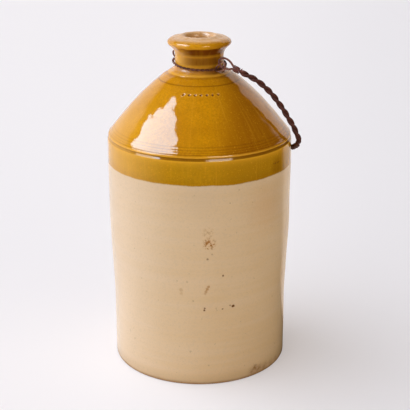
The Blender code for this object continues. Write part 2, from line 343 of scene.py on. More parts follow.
def make_piece(
    name: str,
    surfaces: list[Surface],
    material: Material,
    body: Body,
    stands_for: tuple[str, ...],
) -> bpy.types.Object:
    """Make one piece of the object, ride it on its body and hide the nodes it stands for.

    Args:
        name: the piece's name.
        surfaces: its surfaces, in place.
        material: its finish.
        body: the body that carries it.
        stands_for: names of the nodes that it replaces.

    Returns:
        The new object.
    """
    mesh = bpy.data.meshes.new(name)
    fill_mesh(mesh, surfaces)
    mesh.materials.append(material)
    piece = bpy.data.objects.new(name, mesh)
    bpy.context.scene.collection.objects.link(piece)
    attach(piece, body.value)
    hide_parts(*stands_for)
    log.info("%s: %d faces on %s", name, len(mesh.polygons), body.value)
    return piece


# Finishes


@dataclass(frozen=True)
class Wall:
    """Outer wall of the body: a cylinder that narrows by a taper, in a smooth step, to its foot."""

    radius: float = 0.0860
    taper: float = 0.0030
    foot: float = 0.0550
    top: float = 0.1500

    def radius_at(self, level: Array) -> Array:
        """Radius at a height."""
        share = smooth_step((level - self.foot) / (self.top - self.foot))
        return self.radius - self.taper + self.taper * share


@dataclass(frozen=True)
class Grain:
    """Cloudy share of a finish: noise that rises from 0 at low to 1 at high.

    The scale is in features to the metre, or to a step where the grain has steps: around gives
    steps to the radian and to the metre, along gives steps to the metre along the axes.
    """

    scale: float
    low: float
    high: float
    detail: float = 2.0
    rough: float = 0.5
    around: Pair | None = None
    along: Point | None = None


@dataclass(frozen=True)
class Wear:
    """Sockets that tell where a glaze has pooled, run thin, been stained or been left bare; the
    pooled share also holds painted shade and the thin share painted highlights.
    """

    pooled: Socket
    thin: Socket
    stain: Socket
    bare: Socket


class Graph:
    """Node tree with short calls for the nodes that the finishes and the studio use."""

    def __init__(self, tree: bpy.types.NodeTree, coordinates: str) -> None:
        """Take a tree and the kind of texture coordinates that it reads."""
        self.tree = tree
        self.place = self.node("TexCoord").outputs[coordinates]

    def node(self, kind: str, **inputs) -> bpy.types.Node:
        """Add a node and set or link its inputs.

        Args:
            kind: the node's type, without its ShaderNode prefix.
            inputs: values or sockets by input name, with _ for a space.

        Returns:
            The node.
        """
        node = self.tree.nodes.new("ShaderNode" + kind)
        self.feed_all(node, **inputs)
        return node

    def feed(self, socket: Socket, value: Value | Tone) -> None:
        """Link a socket to another, or set its value.

        Args:
            socket: input to feed.
            value: output of another node, number, colour or vector.
        """
        if isinstance(value, Socket):
            self.tree.links.new(value, socket)
        elif isinstance(value, tuple) and len(value) == 3 and socket.type == "RGBA":
            socket.default_value = (*value, 1.0)
        else:
            socket.default_value = value

    def feed_all(self, node: bpy.types.Node, **inputs) -> None:
        """Set or link a node's inputs by name, with _ for a space."""
        for key, value in inputs.items():
            self.feed(node.inputs[key.replace("_", " ")], value)

    def math(self, operation: str, first: Value, second: Value) -> Socket:
        """Work out a value from two with a Math node.

        Args:
            operation: what the node does.
            first: first value.
            second: second value.

        Returns:
            The result's socket.
        """
        node = self.node("Math")
        node.operation = operation
        self.feed(node.inputs[0], first)
        self.feed(node.inputs[1], second)
        return node.outputs[0]

    def vector(self, operation: str, *values: Tone) -> bpy.types.Node:
        """Work on vectors with a Vector Math node.

        Args:
            operation: what the node does.
            values: its vectors.

        Returns:
            The node.
        """
        node = self.node("VectorMath")
        node.operation = operation
        for socket, value in zip(node.inputs, values):
            self.feed(socket, value)
        return node

    def axis(self, name: str) -> Socket:
        """One of the X, Y and Z coordinates."""
        return self.node("SeparateXYZ", Vector=self.place).outputs[name]

    def turn(self) -> Socket:
        """Angle about Z in radians, 0 at the front and positive towards +X."""
        return self.math("ARCTAN2", self.axis("X"), self.share(self.axis("Y"), -1.0))

    def scaled(self, scale: Point) -> Socket:
        """Coordinates stretched along the axes."""
        return self.vector("MULTIPLY", self.place, scale).outputs["Vector"]

    def around(self, across: float, up: float) -> Socket:
        """Coordinates on a cylinder about Z.

        Args:
            across: steps to the radian.
            up: steps to the metre.

        Returns:
            The coordinates' socket.
        """
        flat = self.scaled((1.0, 1.0, 0.0))
        ring = self.vector("NORMALIZE", flat).outputs["Vector"]
        ring = self.vector("MULTIPLY", ring, (across, across, 0.0)).outputs["Vector"]
        return self.vector("ADD", ring, self.scaled((0.0, 0.0, up))).outputs["Vector"]

    def noise(
        self, scale: float, detail: float = 2.0, rough: float = 0.5, source: Socket | None = None
    ) -> Socket:
        """Smooth noise between 0 and 1.

        Args:
            scale: features to the unit of the coordinates.
            detail: number of finer layers.
            rough: how much each finer layer counts.
            source: coordinates to use in place of the plain ones.

        Returns:
            The noise's socket.
        """
        source = source or self.place
        node = self.node("TexNoise", Vector=source, Scale=scale, Detail=detail, Roughness=rough)
        return node.outputs["Fac"]

    def ramp(self, value: Value, low: float, high: float) -> Socket:
        """Share that rises with level ends.

        Args:
            value: value to read.
            low: where the share is 0.
            high: where the share is 1.

        Returns:
            The share's socket.
        """
        node = self.node("MapRange", Value=value, From_Min=low, From_Max=high)
        node.interpolation_type = "SMOOTHSTEP"
        return node.outputs["Result"]

    def grain(self, grain: Grain) -> Socket:
        """Cloudy share of a finish.

        Args:
            grain: its noise and the span over which it rises.

        Returns:
            The share's socket.
        """
        source = None
        if grain.around:
            source = self.around(*grain.around)
        elif grain.along:
            source = self.scaled(grain.along)
        noise = self.noise(grain.scale, grain.detail, grain.rough, source)
        return self.ramp(noise, grain.low, grain.high)

    def between(self, value: Value, low: float, high: float) -> Socket:
        """Number that goes from low to high as the value goes from 0 to 1."""
        return self.node("MapRange", Value=value, To_Min=low, To_Max=high).outputs["Result"]

    def share(self, value: Value, amount: Value) -> Socket:
        """Value times an amount."""
        return self.math("MULTIPLY", value, amount)

    def mix(self, factor: Value, first: Tone, second: Tone) -> Socket:
        """Mix two colours.

        Args:
            factor: share of the second colour.
            first: colour at 0.
            second: colour at 1.

        Returns:
            The colour's socket.
        """
        node = self.node("Mix")
        node.data_type = "RGBA"
        self.feed(node.inputs["Factor"], factor)
        self.feed(node.inputs[6], first)
        self.feed(node.inputs[7], second)
        return node.outputs[2]

    def layered(self, made: Tone, *layers: tuple[Value, Value, Tone]) -> Socket:
        """Colour with others laid over it in turn.

        Args:
            made: colour to start from.
            layers: a share, an amount that it is taken times, and a colour, for each layer.

        Returns:
            The colour's socket.
        """
        for share, amount, colour in layers:
            made = self.mix(self.share(share, amount), made, colour)
        return made

    def wear(self) -> Wear:
        """Shares of the piece's wear attribute.

        Returns:
            Its red, green, blue and alpha.
        """
        node = self.node("Attribute")
        node.attribute_name = WEAR
        split = self.node("SeparateColor", Color=node.outputs["Color"])
        return Wear(*split.outputs[:3], node.outputs["Alpha"])

    def bump(
        self, height: Socket, strength: float, distance: float, normal: Socket | None = None
    ) -> Socket:
        """Normal of the surface raised by a height.

        Args:
            height: height from 0 to 1.
            strength: share of the whole effect.
            distance: height in metres that 1 stands for.
            normal: normal of the surface that it is raised on, if it is bumped already.

        Returns:
            The normal's socket.
        """
        node = self.node("Bump", Height=height, Strength=strength, Distance=distance)
        if normal is not None:
            self.feed(node.inputs["Normal"], normal)
        return node.outputs["Normal"]

    def peel(self) -> Socket:
        """Normal of a glaze that has set with a fine and a broad unevenness."""
        fine = self.bump(self.noise(420.0), strength=0.10, distance=0.0004)
        return self.bump(self.noise(120.0, 1.0), strength=0.12, distance=0.0010, normal=fine)

    def spot(self, centre: Point, size: float, warp: Socket, core: float) -> Socket:
        """Round spot with its outline pulled about by noise.

        Args:
            centre: middle of the spot.
            size: distance at which it has faded out.
            warp: noise about zero.
            core: share of the size inside which it is full.

        Returns:
            Socket that is 1 in the core and 0 outside.
        """
        apart = self.vector("DISTANCE", self.place, centre).outputs["Value"]
        reach = self.math("ADD", apart, self.share(warp, size))
        return self.ramp(reach, size, core * size)


class Finish(Graph):
    """Node tree of one material, with its Principled shader."""

    def __init__(self, name: str) -> None:
        """Start a material with a Principled shader and Object coordinates.

        Args:
            name: the material's name.
        """
        self.material = bpy.data.materials.new(name)
        self.material.use_nodes = True
        super().__init__(self.material.node_tree, "Object")
        self.shader = self.tree.nodes["Principled BSDF"]


@dataclass(frozen=True)
class OchreGlaze:
    """Honey-ochre lead glaze: glossy, streaked, dark where it pools and pale where it runs thin.

    Towards +X it is darker and towards -X paler, with a lighter gold rim at the far side:
    painted shade on the side away from the lamps, painted light on the lamp side and far rim.
    """

    name: str
    gold: Colour
    brown: Colour
    olive: Colour
    pooled: Colour = (0.150, 0.034, 0.001)
    thin: Colour = (0.80, 0.370, 0.020)
    stain: Colour = (0.46, 0.15, 0.055)
    bare: Colour = (0.79, 0.49, 0.26)
    # Painted shade: darker brown on the side away from the lamps.
    shade_side: Colour = (0.34, 0.108, 0.002)
    clouds: Grain = Grain(24.0, 0.36, 0.66, detail=4.0, rough=0.6)
    runs: Grain = Grain(1.0, 0.42, 0.70, detail=3.0, rough=0.6, around=(26.0, 24.0))
    trails: Grain = Grain(1.0, 0.58, 0.72, rough=0.6, around=(40.0, 14.0))
    freckles: Grain = Grain(520.0, 0.40, 0.64, detail=3.0, rough=0.65)
    specks: Grain = Grain(820.0, 0.62, 0.72, detail=1.0)
    rubbing: Grain = Grain(150.0, 0.36, 0.60, detail=3.0, rough=0.6)
    rubbing_span: Pair = (0.55, 0.95)
    streaks: Grain = Grain(1.0, 0.36, 0.62, around=(7.0, 45.0))
    streak_span: Pair = (0.88, 1.0)
    shade_side_span: Pair = (0.006, 0.048)
    # Painted light: paler glaze on the lamp side.
    lit_side_span: Pair = (-0.020, -0.085)
    lit_side_share: float = 0.60
    # Painted light: a lighter gold rim at the far right of the shaded side.
    lit_rim_span: Pair = (1.00, 1.27)
    lit_rim_share: float = 0.42
    # Painted shade: the stain darkens under the collar wire on the right.
    wire_shade_span: Pair = (0.000, 0.014)
    # Painted light: the pooled streaks are fainter on the lamp side.
    lit_side_fade_span: Pair = (-0.080, -0.025)
    roughness: float = 0.06
    dull_roughness: float = 0.42
    refraction: float = 1.5

    def colour(self, graph: Graph, wear: Wear) -> Socket:
        """Colour of the glaze: gold to brown in clouds, runs and freckles, painted shade and light
        by side, then its wear, whose pooled and thin shares hold painted shade and highlights too.

        Args:
            graph: the material's nodes.
            wear: the piece's wear sockets.

        Returns:
            The colour's socket.
        """
        across = graph.axis("X")
        # Painted shade towards +X, with a painted lighter rim at the far side.
        shade_side = graph.ramp(across, *self.shade_side_span)
        rim = graph.share(graph.ramp(graph.turn(), *self.lit_rim_span), shade_side)
        # Painted light: paler towards -X, the lamp side.
        light = graph.ramp(across, *self.lit_side_span)
        worn = graph.between(graph.grain(self.rubbing), *self.rubbing_span)
        # Painted shade under the collar wire, on the right.
        wire_shade = graph.share(wear.stain, graph.ramp(across, *self.wire_shade_span))
        streaked = graph.between(graph.grain(self.streaks), *self.streak_span)
        # Painted light: the pooled colour is fainter on the lamp side.
        fainter = graph.between(graph.ramp(across, *self.lit_side_fade_span), 0.40, 1.0)
        depth = graph.share(streaked, fainter)
        return graph.layered(
            self.gold,
            (shade_side, 1.0, self.shade_side),
            (graph.grain(self.clouds), 0.60, self.brown),
            (graph.grain(self.runs), 0.50, self.olive),
            (graph.grain(self.freckles), 0.55, self.brown),
            (shade_side, 0.55, self.shade_side),
            (rim, self.lit_rim_share, self.gold),
            (graph.grain(self.trails), 0.28, self.thin),
            (graph.grain(self.specks), 0.40, self.thin),
            (light, self.lit_side_share, self.thin),
            # The thin share also holds painted highlights and the pooled share painted shade.
            (wear.thin, 0.90, self.thin),
            (wear.bare, worn, self.bare),
            (wear.stain, 0.48, self.stain),
            (wire_shade, 0.62, self.pooled),
            (wear.pooled, depth, self.pooled),
        )

    def material(self) -> Material:
        """Finish of the shoulder, neck and lip, duller where the glaze is worn or stained.

        Returns:
            The material.
        """
        graph = Finish(self.name)
        wear = graph.wear()
        dull = graph.math("MAXIMUM", wear.bare, graph.share(wear.thin, 0.35))
        dull = graph.math("MAXIMUM", dull, graph.share(wear.stain, 0.60))
        graph.feed_all(
            graph.shader,
            Base_Color=self.colour(graph, wear),
            IOR=self.refraction,
            Roughness=graph.between(dull, self.roughness, self.dull_roughness),
            Normal=graph.peel(),
        )
        return graph.material


@dataclass(frozen=True)
class DippedStoneware:
    """Cream stoneware under a thin clear glaze, dipped in ochre down to a wavering line.

    A mark is an azimuth, a height, a size and a depth of colour.
    """

    ochre: OchreGlaze
    wall: Wall = Wall()
    cream: Colour = (0.735, 0.495, 0.262)
    warm: Colour = (0.705, 0.448, 0.212)
    pale: Colour = (0.765, 0.560, 0.355)
    grey: Colour = (0.560, 0.400, 0.250)
    blush: Colour = (0.680, 0.380, 0.160)
    rust: Colour = (0.400, 0.145, 0.015)
    iron: Colour = (0.150, 0.045, 0.006)
    speck: Colour = (0.180, 0.100, 0.045)
    # Dark brown at the foot: toasted clay and painted contact shadow; it also darkens the wall
    # towards the bottom.
    foot_brown: Colour = (0.300, 0.135, 0.035)
    scorched: Colour = (0.250, 0.100, 0.020)
    clouds: Grain = Grain(9.0, 0.38, 0.66, detail=3.0, rough=0.6)
    bands: Grain = Grain(1.0, 0.35, 0.70, detail=3.0, rough=0.6, along=(6.0, 6.0, 150.0))
    freckles: Grain = Grain(560.0, 0.46, 0.68, detail=3.0, rough=0.65)
    pits: Grain = Grain(300.0, 0.735, 0.79, detail=1.0)
    rust_grain: Grain = Grain(400.0, 0.49, 0.55, detail=3.0, rough=0.6)
    iron_grain: Grain = Grain(400.0, 0.62, 0.68, detail=3.0, rough=0.6)
    blotches: Grain = Grain(260.0, 0.34, 0.66, detail=3.0, rough=0.6)
    blotch_span: Pair = (0.35, 1.0)
    blushes: tuple[Mark, ...] = ((45.0, 0.1680, 0.0340, 0.45),)
    # A greyer patch on the front below the band.
    grey_patches: tuple[Mark, ...] = ((0.0, 0.1860, 0.0260, 0.22),)
    spots: tuple[Mark, ...] = (
        (5.0, 0.1279, 0.0014, 0.60),
        (14.7, 0.1106, 0.0013, 0.85),
        (3.4, 0.0788, 0.0012, 0.80),
        (3.2, 0.0768, 0.0014, 0.95),
        (14.7, 0.0769, 0.0012, 0.70),
        (21.7, 0.0785, 0.0019, 1.00),
        (19.6, 0.0795, 0.0012, 0.55),
        (-7.5, 0.1050, 0.0013, 0.25),
        (-3.9, 0.0862, 0.0013, 0.25),
        (7.7, 0.1325, 0.0012, 0.35),
        (18.4, 0.1799, 0.0009, 0.40),
        (24.1, 0.1910, 0.0009, 0.35),
    )
    rusts: tuple[Mark, ...] = (
        (5.6, 0.1003, 0.0018, 0.65),
        (4.9, 0.0982, 0.0020, 0.65),
        (4.2, 0.0956, 0.0020, 0.50),
        (3.6, 0.0936, 0.0016, 0.35),
        (-11.4, 0.0966, 0.0026, 0.28),
        (-11.2, 0.0932, 0.0022, 0.22),
    )
    patches: tuple[Mark, ...] = (
        (5.9, 0.1422, 0.0076, 0.90),
        (5.4, 0.1530, 0.0070, 0.26),
    )
    scorches: tuple[Mark, ...] = (
        (36.0, 0.0050, 0.0062, 0.35),
        (39.0, 0.0066, 0.0070, 0.75),
        (42.5, 0.0064, 0.0064, 0.55),
        (48.0, 0.0056, 0.0062, 0.50),
        (55.0, 0.0046, 0.0056, 0.40),
        (62.0, 0.0040, 0.0052, 0.30),
    )
    scuffs: tuple[Mark, ...] = ((54.5, 0.2050, 0.0110, 0.28),)
    nicks: tuple[Mark, ...] = (
        (51.0, 0.2074, 0.0010, 0.80),
        (52.6, 0.2074, 0.0010, 0.80),
        (54.6, 0.2074, 0.0010, 0.80),
        (56.4, 0.2074, 0.0010, 0.80),
    )
    dip_level: float = 0.1967
    dip_waver: float = 0.0016
    dip_edge: float = 0.0007
    sag_height: float = 0.0110
    sag_share: float = 0.16
    # Painted light: the cream is paler on the lamp side.
    cream_lit_span: Pair = (-0.010, -0.070)
    # Darker towards the bottom.
    low_dark_level: float = 0.015
    low_dark_share: float = 0.26
    # The dark foot line: toasted clay and painted contact shadow.
    toast_level: float = 0.0042
    toast_waver: float = 0.0022
    toast_share: float = 0.90
    roughness: float = 0.20
    refraction: float = 1.5

    def on_wall(self, azimuth: float, height: float) -> Point:
        """Point of the tapered outer wall.

        Args:
            azimuth: degrees from the front.
            height: height above the base.

        Returns:
            The point.
        """
        turn = math.radians(azimuth)
        radius = float(self.wall.radius_at(height))
        return radius * math.sin(turn), -radius * math.cos(turn), height

    def marked(
        self,
        graph: Graph,
        made: Socket,
        colour: Colour,
        marks: tuple[Mark, ...],
        warp: Socket,
        core: float,
        grain: Value = 1.0,
    ) -> Socket:
        """Lay marks of one colour over another.

        Args:
            graph: the material's nodes.
            made: colour so far.
            colour: colour of the marks.
            marks: the marks.
            warp: noise about zero that pulls their outlines about.
            core: share of the size inside which a mark is full.
            grain: share that every mark is taken times.

        Returns:
            The colour's socket.
        """
        for azimuth, height, size, depth in marks:
            mark = graph.spot(self.on_wall(azimuth, height), size, warp, core)
            made = graph.layered(made, (graph.share(mark, depth), grain, colour))
        return made

    def clay(self, graph: Graph) -> Socket:
        """Colour of the cream ware: clouds, throwing bands, freckles and pits, paler towards -X as
        painted light on the lamp side.

        Args:
            graph: the material's nodes.

        Returns:
            The colour's socket.
        """
        # Painted light: paler towards -X, the lamp side.
        cream_lit = graph.ramp(graph.axis("X"), *self.cream_lit_span)
        return graph.layered(
            self.cream,
            (graph.grain(self.clouds), 0.50, self.warm),
            (graph.grain(self.bands), 0.25, self.pale),
            (cream_lit, 0.38, self.pale),
            (graph.grain(self.freckles), 0.26, self.grey),
            (graph.grain(self.pits), 0.24, self.speck),
        )

    def blemished(self, graph: Graph, made: Socket) -> Socket:
        """Lay a blush, a greyer patch, spots, rusty patches, a scorch, a darkening towards the
        bottom and a dark foot line of toasted clay and painted contact shadow over a colour.

        Args:
            graph: the material's nodes.
            made: colour so far.

        Returns:
            The colour's socket.
        """
        warp = graph.math("SUBTRACT", graph.noise(700.0), 0.5)
        for colour, marks, core in (
            (self.blush, self.blushes, 0.0),
            (self.grey, self.grey_patches, 0.0),
            (self.rust, self.rusts, 0.40),
            (self.iron, self.spots, 0.40),
        ):
            made = self.marked(graph, made, colour, marks, warp, core)
        layers = (
            (self.blush, 0.22),
            (self.rust, graph.grain(self.rust_grain)),
            (self.iron, graph.grain(self.iron_grain)),
        )
        for patch in self.patches:
            for colour, grain in layers:
                made = self.marked(graph, made, colour, (patch,), warp, 0.3, grain)
        blotch = graph.between(graph.grain(self.blotches), *self.blotch_span)
        made = self.marked(graph, made, self.scorched, self.scorches, warp, 0.1, blotch)
        height = graph.axis("Z")
        # Darker towards the bottom, and a dark foot line of toasted clay and painted contact
        # shadow.
        low_dark = graph.ramp(height, self.low_dark_level, 0.0)
        rise = graph.math("ADD", height, graph.share(graph.noise(60.0, 3.0), -self.toast_waver))
        foot = graph.ramp(rise, self.toast_level - self.toast_waver / 2, -self.toast_waver / 2)
        low_dark_layer = (low_dark, self.low_dark_share, self.foot_brown)
        return graph.layered(made, low_dark_layer, (foot, self.toast_share, self.foot_brown))

    def material(self) -> Material:
        """Finish of the body: ochre above the dip line, cream ware below it.

        Returns:
            The material.
        """
        graph = Finish("dipped_stoneware")
        waver = graph.math("SUBTRACT", graph.noise(46.0, 5.0, 0.7), 0.5)
        level = graph.math("ADD", graph.axis("Z"), graph.share(waver, 2 * self.dip_waver))
        dipped = graph.ramp(level, self.dip_level - self.dip_edge, self.dip_level + self.dip_edge)
        clay = self.blemished(graph, self.clay(graph))
        sagged = graph.ramp(level, self.dip_level + self.sag_height, self.dip_level)
        pooled = self.ochre.pooled
        ochre = self.ochre.colour(graph, graph.wear())
        ochre = graph.layered(ochre, (sagged, self.sag_share, pooled))
        ochre = self.marked(graph, ochre, pooled, self.scuffs, waver, 0.2)
        ochre = self.marked(graph, ochre, self.iron, self.nicks, waver, 0.4)
        throwing = graph.noise(1.0, 2.0, 0.5, graph.scaled((8.0, 8.0, 260.0)))
        graph.feed_all(
            graph.shader,
            Base_Color=graph.mix(dipped, clay, ochre),
            IOR=self.refraction,
            Roughness=graph.between(dipped, self.roughness, self.ochre.roughness),
            Normal=graph.bump(throwing, strength=0.10, distance=0.0006, normal=graph.peel()),
        )
        return graph.material


@dataclass(frozen=True)
class AgedWire:
    """Old iron wire: dark brown, rubbed to copper in patches, with dull rust and, where given, a
    lighter coppery spot that is a painted highlight.
    """

    name: str
    dark: Colour
    rubbed: Colour
    rust: Colour = (0.17, 0.048, 0.028)
    patches: Grain = Grain(260.0, 0.42, 0.66, detail=3.0, rough=0.6)
    rust_spots: Grain = Grain(700.0, 0.52, 0.68)
    rubbed_share: float = 0.5
    rust_share: float = 0.45
    # Painted highlight: a lighter coppery spot where a centre is given.
    glint_centre: Point | None = None
    glint_size: float = 0.016
    glint_colour: Colour = (0.34, 0.135, 0.095)
    glint_share: float = 0.65
    roughness: float = 0.55
    gloss: float = 0.22

    def material(self) -> Material:
        """Finish of the wire: dark and rubbed in patches, grainy, with spots of rust and, where
        given, the painted highlight spot.

        Returns:
            The material.
        """
        graph = Finish(self.name)
        patches = graph.grain(self.patches)
        made = graph.layered(
            self.dark,
            (patches, self.rubbed_share, self.rubbed),
            (graph.grain(self.rust_spots), self.rust_share, self.rust),
        )
        if self.glint_centre:
            near = graph.spot(self.glint_centre, self.glint_size, graph.share(patches, 0.2), 0.6)
            made = graph.layered(made, (near, self.glint_share, self.glint_colour))
        graph.feed_all(
            graph.shader,
            Base_Color=made,
            Specular_IOR_Level=self.gloss,
            Roughness=self.roughness,
            Normal=graph.bump(graph.noise(2400.0), strength=0.25, distance=0.0002),
        )
        return graph.material


# The flagon


@dataclass
class Ripple:
    """Slight unevenness of a thrown and glazed wall.

    The height is a sum of waves, each the cosine of a whole number of turns round the axis
    plus a rate along the profile plus a phase, so it closes on itself round the flagon.
    """

    seed: int
    waves: int
    most_turns: int
    shortest: float
    height: float

    def on(self, turn: Array, walk: Array) -> Array:
        """Heights over a grid.

        Args:
            turn: (columns,) angles round the axis in radians.
            walk: (rows,) distances along the profile.

        Returns:
            (rows, columns) heights.
        """
        chance = np.random.default_rng(self.seed)
        turns = chance.integers(0, self.most_turns + 1, self.waves)
        rates = chance.uniform(-1.0, 1.0, self.waves) * 2 * np.pi / self.shortest
        phases = chance.uniform(0.0, 2 * np.pi, self.waves)
        along = np.exp(1j * (walk[:, None] * rates + phases))
        round_axis = np.exp(1j * turn[:, None] * turns)
        return self.height * (along @ round_axis.T).real / math.sqrt(self.waves / 2)


@dataclass
class Turned:
    """Profile of a turned piece with its relief, wear and point spacing, ready to revolve.

    The relief stands square to the profile; wear holds the pooled, thin, stained and bare
    shares, the pooled one with painted shade and the thin one with painted highlights; corner is
    the number of the profile point that must fall on a row.
    """

    outline: Array
    relief: Array
    wear: Array
    spacing: Array
    corner: int

    def sampled(self, rows: int) -> tuple[Array, Array, Array, Array, Array]:
        """Read the profile at rows places, closest together where the spacing is small.

        Args:
            rows: number of places.

        Returns:
            Points, outward normals, walked distances, relief and wear at those places.
        """
        walk = walked(self.outline)
        middle = (self.spacing[1:] + self.spacing[:-1]) / 2
        density = np.concatenate([[0.0], np.cumsum(np.diff(walk) / middle)])
        place = np.interp(np.linspace(0.0, density[-1], rows), density, walk)
        place[np.argmin(np.abs(place - walk[self.corner]))] = walk[self.corner]
        heading = unit(np.gradient(self.outline, walk, axis=0))
        normal = np.column_stack([heading[:, 1], -heading[:, 0]])
        columns = [self.outline, normal, self.relief[:, None], self.wear]
        read = [np.column_stack([np.interp(place, walk, c) for c in block.T]) for block in columns]
        return read[0], unit(read[1]), place, read[2][:, 0], read[3]


@dataclass
class Flagon:
    """The thrown body and its luted shoulder, neck and lip.

    The two are surfaces of revolution: a profile that runs up the outer side, turned about Z.
    They meet in the groove under the shoulder. A ring on the shoulder is a radius, a depth, a
    width and a darkness. Levels of the neck count up from its foot, drops down from the lip's
    top, and outs, insets and reaches across from the foot of the neck or of the cone. A spacing
    is the distance between rows outside and inside, and rows say how much closer they lie. A fade
    is the distance at which the ripple starts and the one it takes to grow. The painted shade of
    the neck and lip rises with the turn from the lamp side, by a rate less a lag.
    """

    wall: Wall = Wall()
    thickness: float = 0.0065
    floor: float = 0.0080
    foot_round: float = 0.0016
    axis_gap: float = 0.0015
    seam_level: float = 0.2214
    groove_depth: float = 0.0012
    groove_half_height: float = 0.0028
    groove_foot: float = 0.0004
    groove_blur: float = 0.0010
    # The groove darkens by pooled glaze and painted shade under the ridge.
    groove_pool_and_shade_share: float = 0.68
    edge_round: float = 0.00045
    # Pale edge and ridge: thin glaze and a painted highlight.
    thin_share: float = 0.90
    thin_fade: float = 0.0028
    ridge_height: float = 0.00030
    ridge_inset: float = 0.0010
    ridge_width: float = 0.0006
    ridge_thin_width: float = 0.0007
    shoulder_rise: float = 0.0596
    shoulder_bulge: float = 0.0050
    cone_foot_level: float = 0.2221
    cone_foot_radius: float = 0.0854
    neck_foot_radius: float = 0.0270
    neck_fillet: float = 0.0046
    rings: tuple[Mark, ...] = (
        (0.0299, 0.00028, 0.00130, 0.34),
        (0.0374, 0.00005, 0.00055, 0.62),
        (0.0796, 0.00004, 0.00040, 0.34),
        (0.0813, 0.00004, 0.00040, 0.38),
        (0.0827, 0.00004, 0.00036, 0.34),
        (0.0839, 0.00008, 0.00044, 0.48),
    )
    ring_reach: float = 2.2
    slope_top: float = 0.0020
    slope_inset: float = 0.0040
    neck_reach: float = 0.0020
    mouth_share: float = 0.60
    mouth_bare: float = 0.55
    # Painted highlight: a pale band on the fillet under the collar.
    welt_highlight_out: float = 0.0010
    welt_highlight_width: float = 0.0012
    # Darker neck under the lip: pooled glaze and painted shade; the sheen is a painted highlight
    # band across it.
    neck_pool_and_shade_level: float = 0.0060
    neck_pool_and_shade_blur: float = 0.0030
    neck_pool_and_shade_share: float = 0.80
    sheen_level: float = 0.0152
    sheen_width: float = 0.0010
    sheen_share: float = 0.55
    # Painted shade under the lip's overhang.
    under_lip_shade_levels: Pair = (0.0155, 0.0246)
    under_lip_shade_blurs: Pair = (0.0022, 0.0015)
    lip_foot: float = 0.0215
    lip_drop: float = 0.0075
    lip_width: float = 0.0024
    lip_inner: float = 0.0260
    # The lip's face: painted shade on the side away from the lamps, painted highlight on the lamp
    # side.
    lip_pool_and_shade_share: float = 0.80
    lip_thin_and_highlight_share: float = 0.85
    bare_drop: float = 0.0040
    bare_blur: float = 0.0044
    stain_level: float = 0.0026
    stain_width: float = 0.0026
    stain_reach: float = 0.0040
    bore_radius: float = 0.0129
    mouth_round: float = 0.0013
    lip_top_level: float = 0.3132
    columns: int = 400
    body_rows: int = 236
    body_spacing: Pair = (0.0014, 0.0080)
    rim_rows: float = 5.0
    foot_rows: float = 2.0
    shoulder_rows: int = 238
    shoulder_spacing: Pair = (0.0012, 0.0045)
    fine_rows: float = 3.0
    curved_rows: float = 0.7
    foot_fade: Pair = (0.004, 0.020)
    seam_fade: Pair = (0.002, 0.004)
    dot_count: int = 7
    dot_pitch: float = 0.0053
    dot_radius: float = 0.00115
    dot_depth: float = 0.00065
    dot_azimuth: float = 2.0
    dot_out: float = 0.0178
    dot_rim: float = 0.22
    dot_rim_place: float = 1.45
    dot_rim_width: float = 0.35
    dot_rim_thin: float = 3.0
    dot_row_width: float = 0.0026
    # Painted light on the neck and lip: the shade grows and the highlights fade with the turn away
    # from the lamp side.
    lamp_side: float = -70.0
    shade_side_thin_loss: float = 0.75
    neck_shade_by_side: Pair = (3.0, 0.35)
    lip_shade_by_side: Pair = (3.2, 2.0)
    lip_shade_by_side_drop: float = 0.0090
    lip_shade_by_side_blur: float = 0.0015

    def body_outline(self) -> Array:
        """Up the outer wall from the axis at the base, into the groove and down inside.

        The wall narrows by the foot taper, in a smooth step from the taper's top to its foot.
        Below the seam a flat slope leads in to the groove.

        Returns:
            (n, 2) points of radius and height.
        """
        foot = self.wall.radius - self.wall.taper
        level = np.linspace(self.foot_round, self.seam_level - self.groove_half_height, 300)
        side = np.column_stack([self.wall.radius_at(level), level])
        rim = self.wall.radius - self.groove_depth
        groove = np.array([[rim, self.seam_level - self.groove_foot], [rim, self.seam_level]])
        outer = eased(np.vstack([side, groove]), self.edge_round)
        flat = np.linspace(self.axis_gap, foot - self.foot_round, 30)
        base = np.column_stack([flat, np.zeros(len(flat))])
        turn_up = arc((foot - self.foot_round, self.foot_round), self.foot_round, -90, 0, 16)[1:-1]
        inner = self.wall.radius - self.thickness
        inner_foot = foot - self.thickness
        inside = np.array([
            [inner, self.seam_level],
            [inner, self.wall.top],
            [inner_foot, self.wall.foot],
        ])
        centre = (inner_foot - self.thickness, self.floor + self.thickness)
        corner = arc(centre, self.thickness, 0, -90, 12)
        return np.vstack([base, turn_up, outer, inside, corner, [[self.axis_gap, self.floor]]])

    def cone(self, share: Array) -> Array:
        """Outer face of the shoulder: a slope that bulges by 4 s (1 - s) times the bulge.

        Args:
            share: (n,) shares s of the way from its foot to the neck.

        Returns:
            (n, 2) points of radius and height.
        """
        radius = self.cone_foot_radius + (self.neck_foot_radius - self.cone_foot_radius) * share
        level = self.cone_foot_level + self.shoulder_rise * share
        return np.column_stack([radius, level + self.shoulder_bulge * 4 * share * (1 - share)])

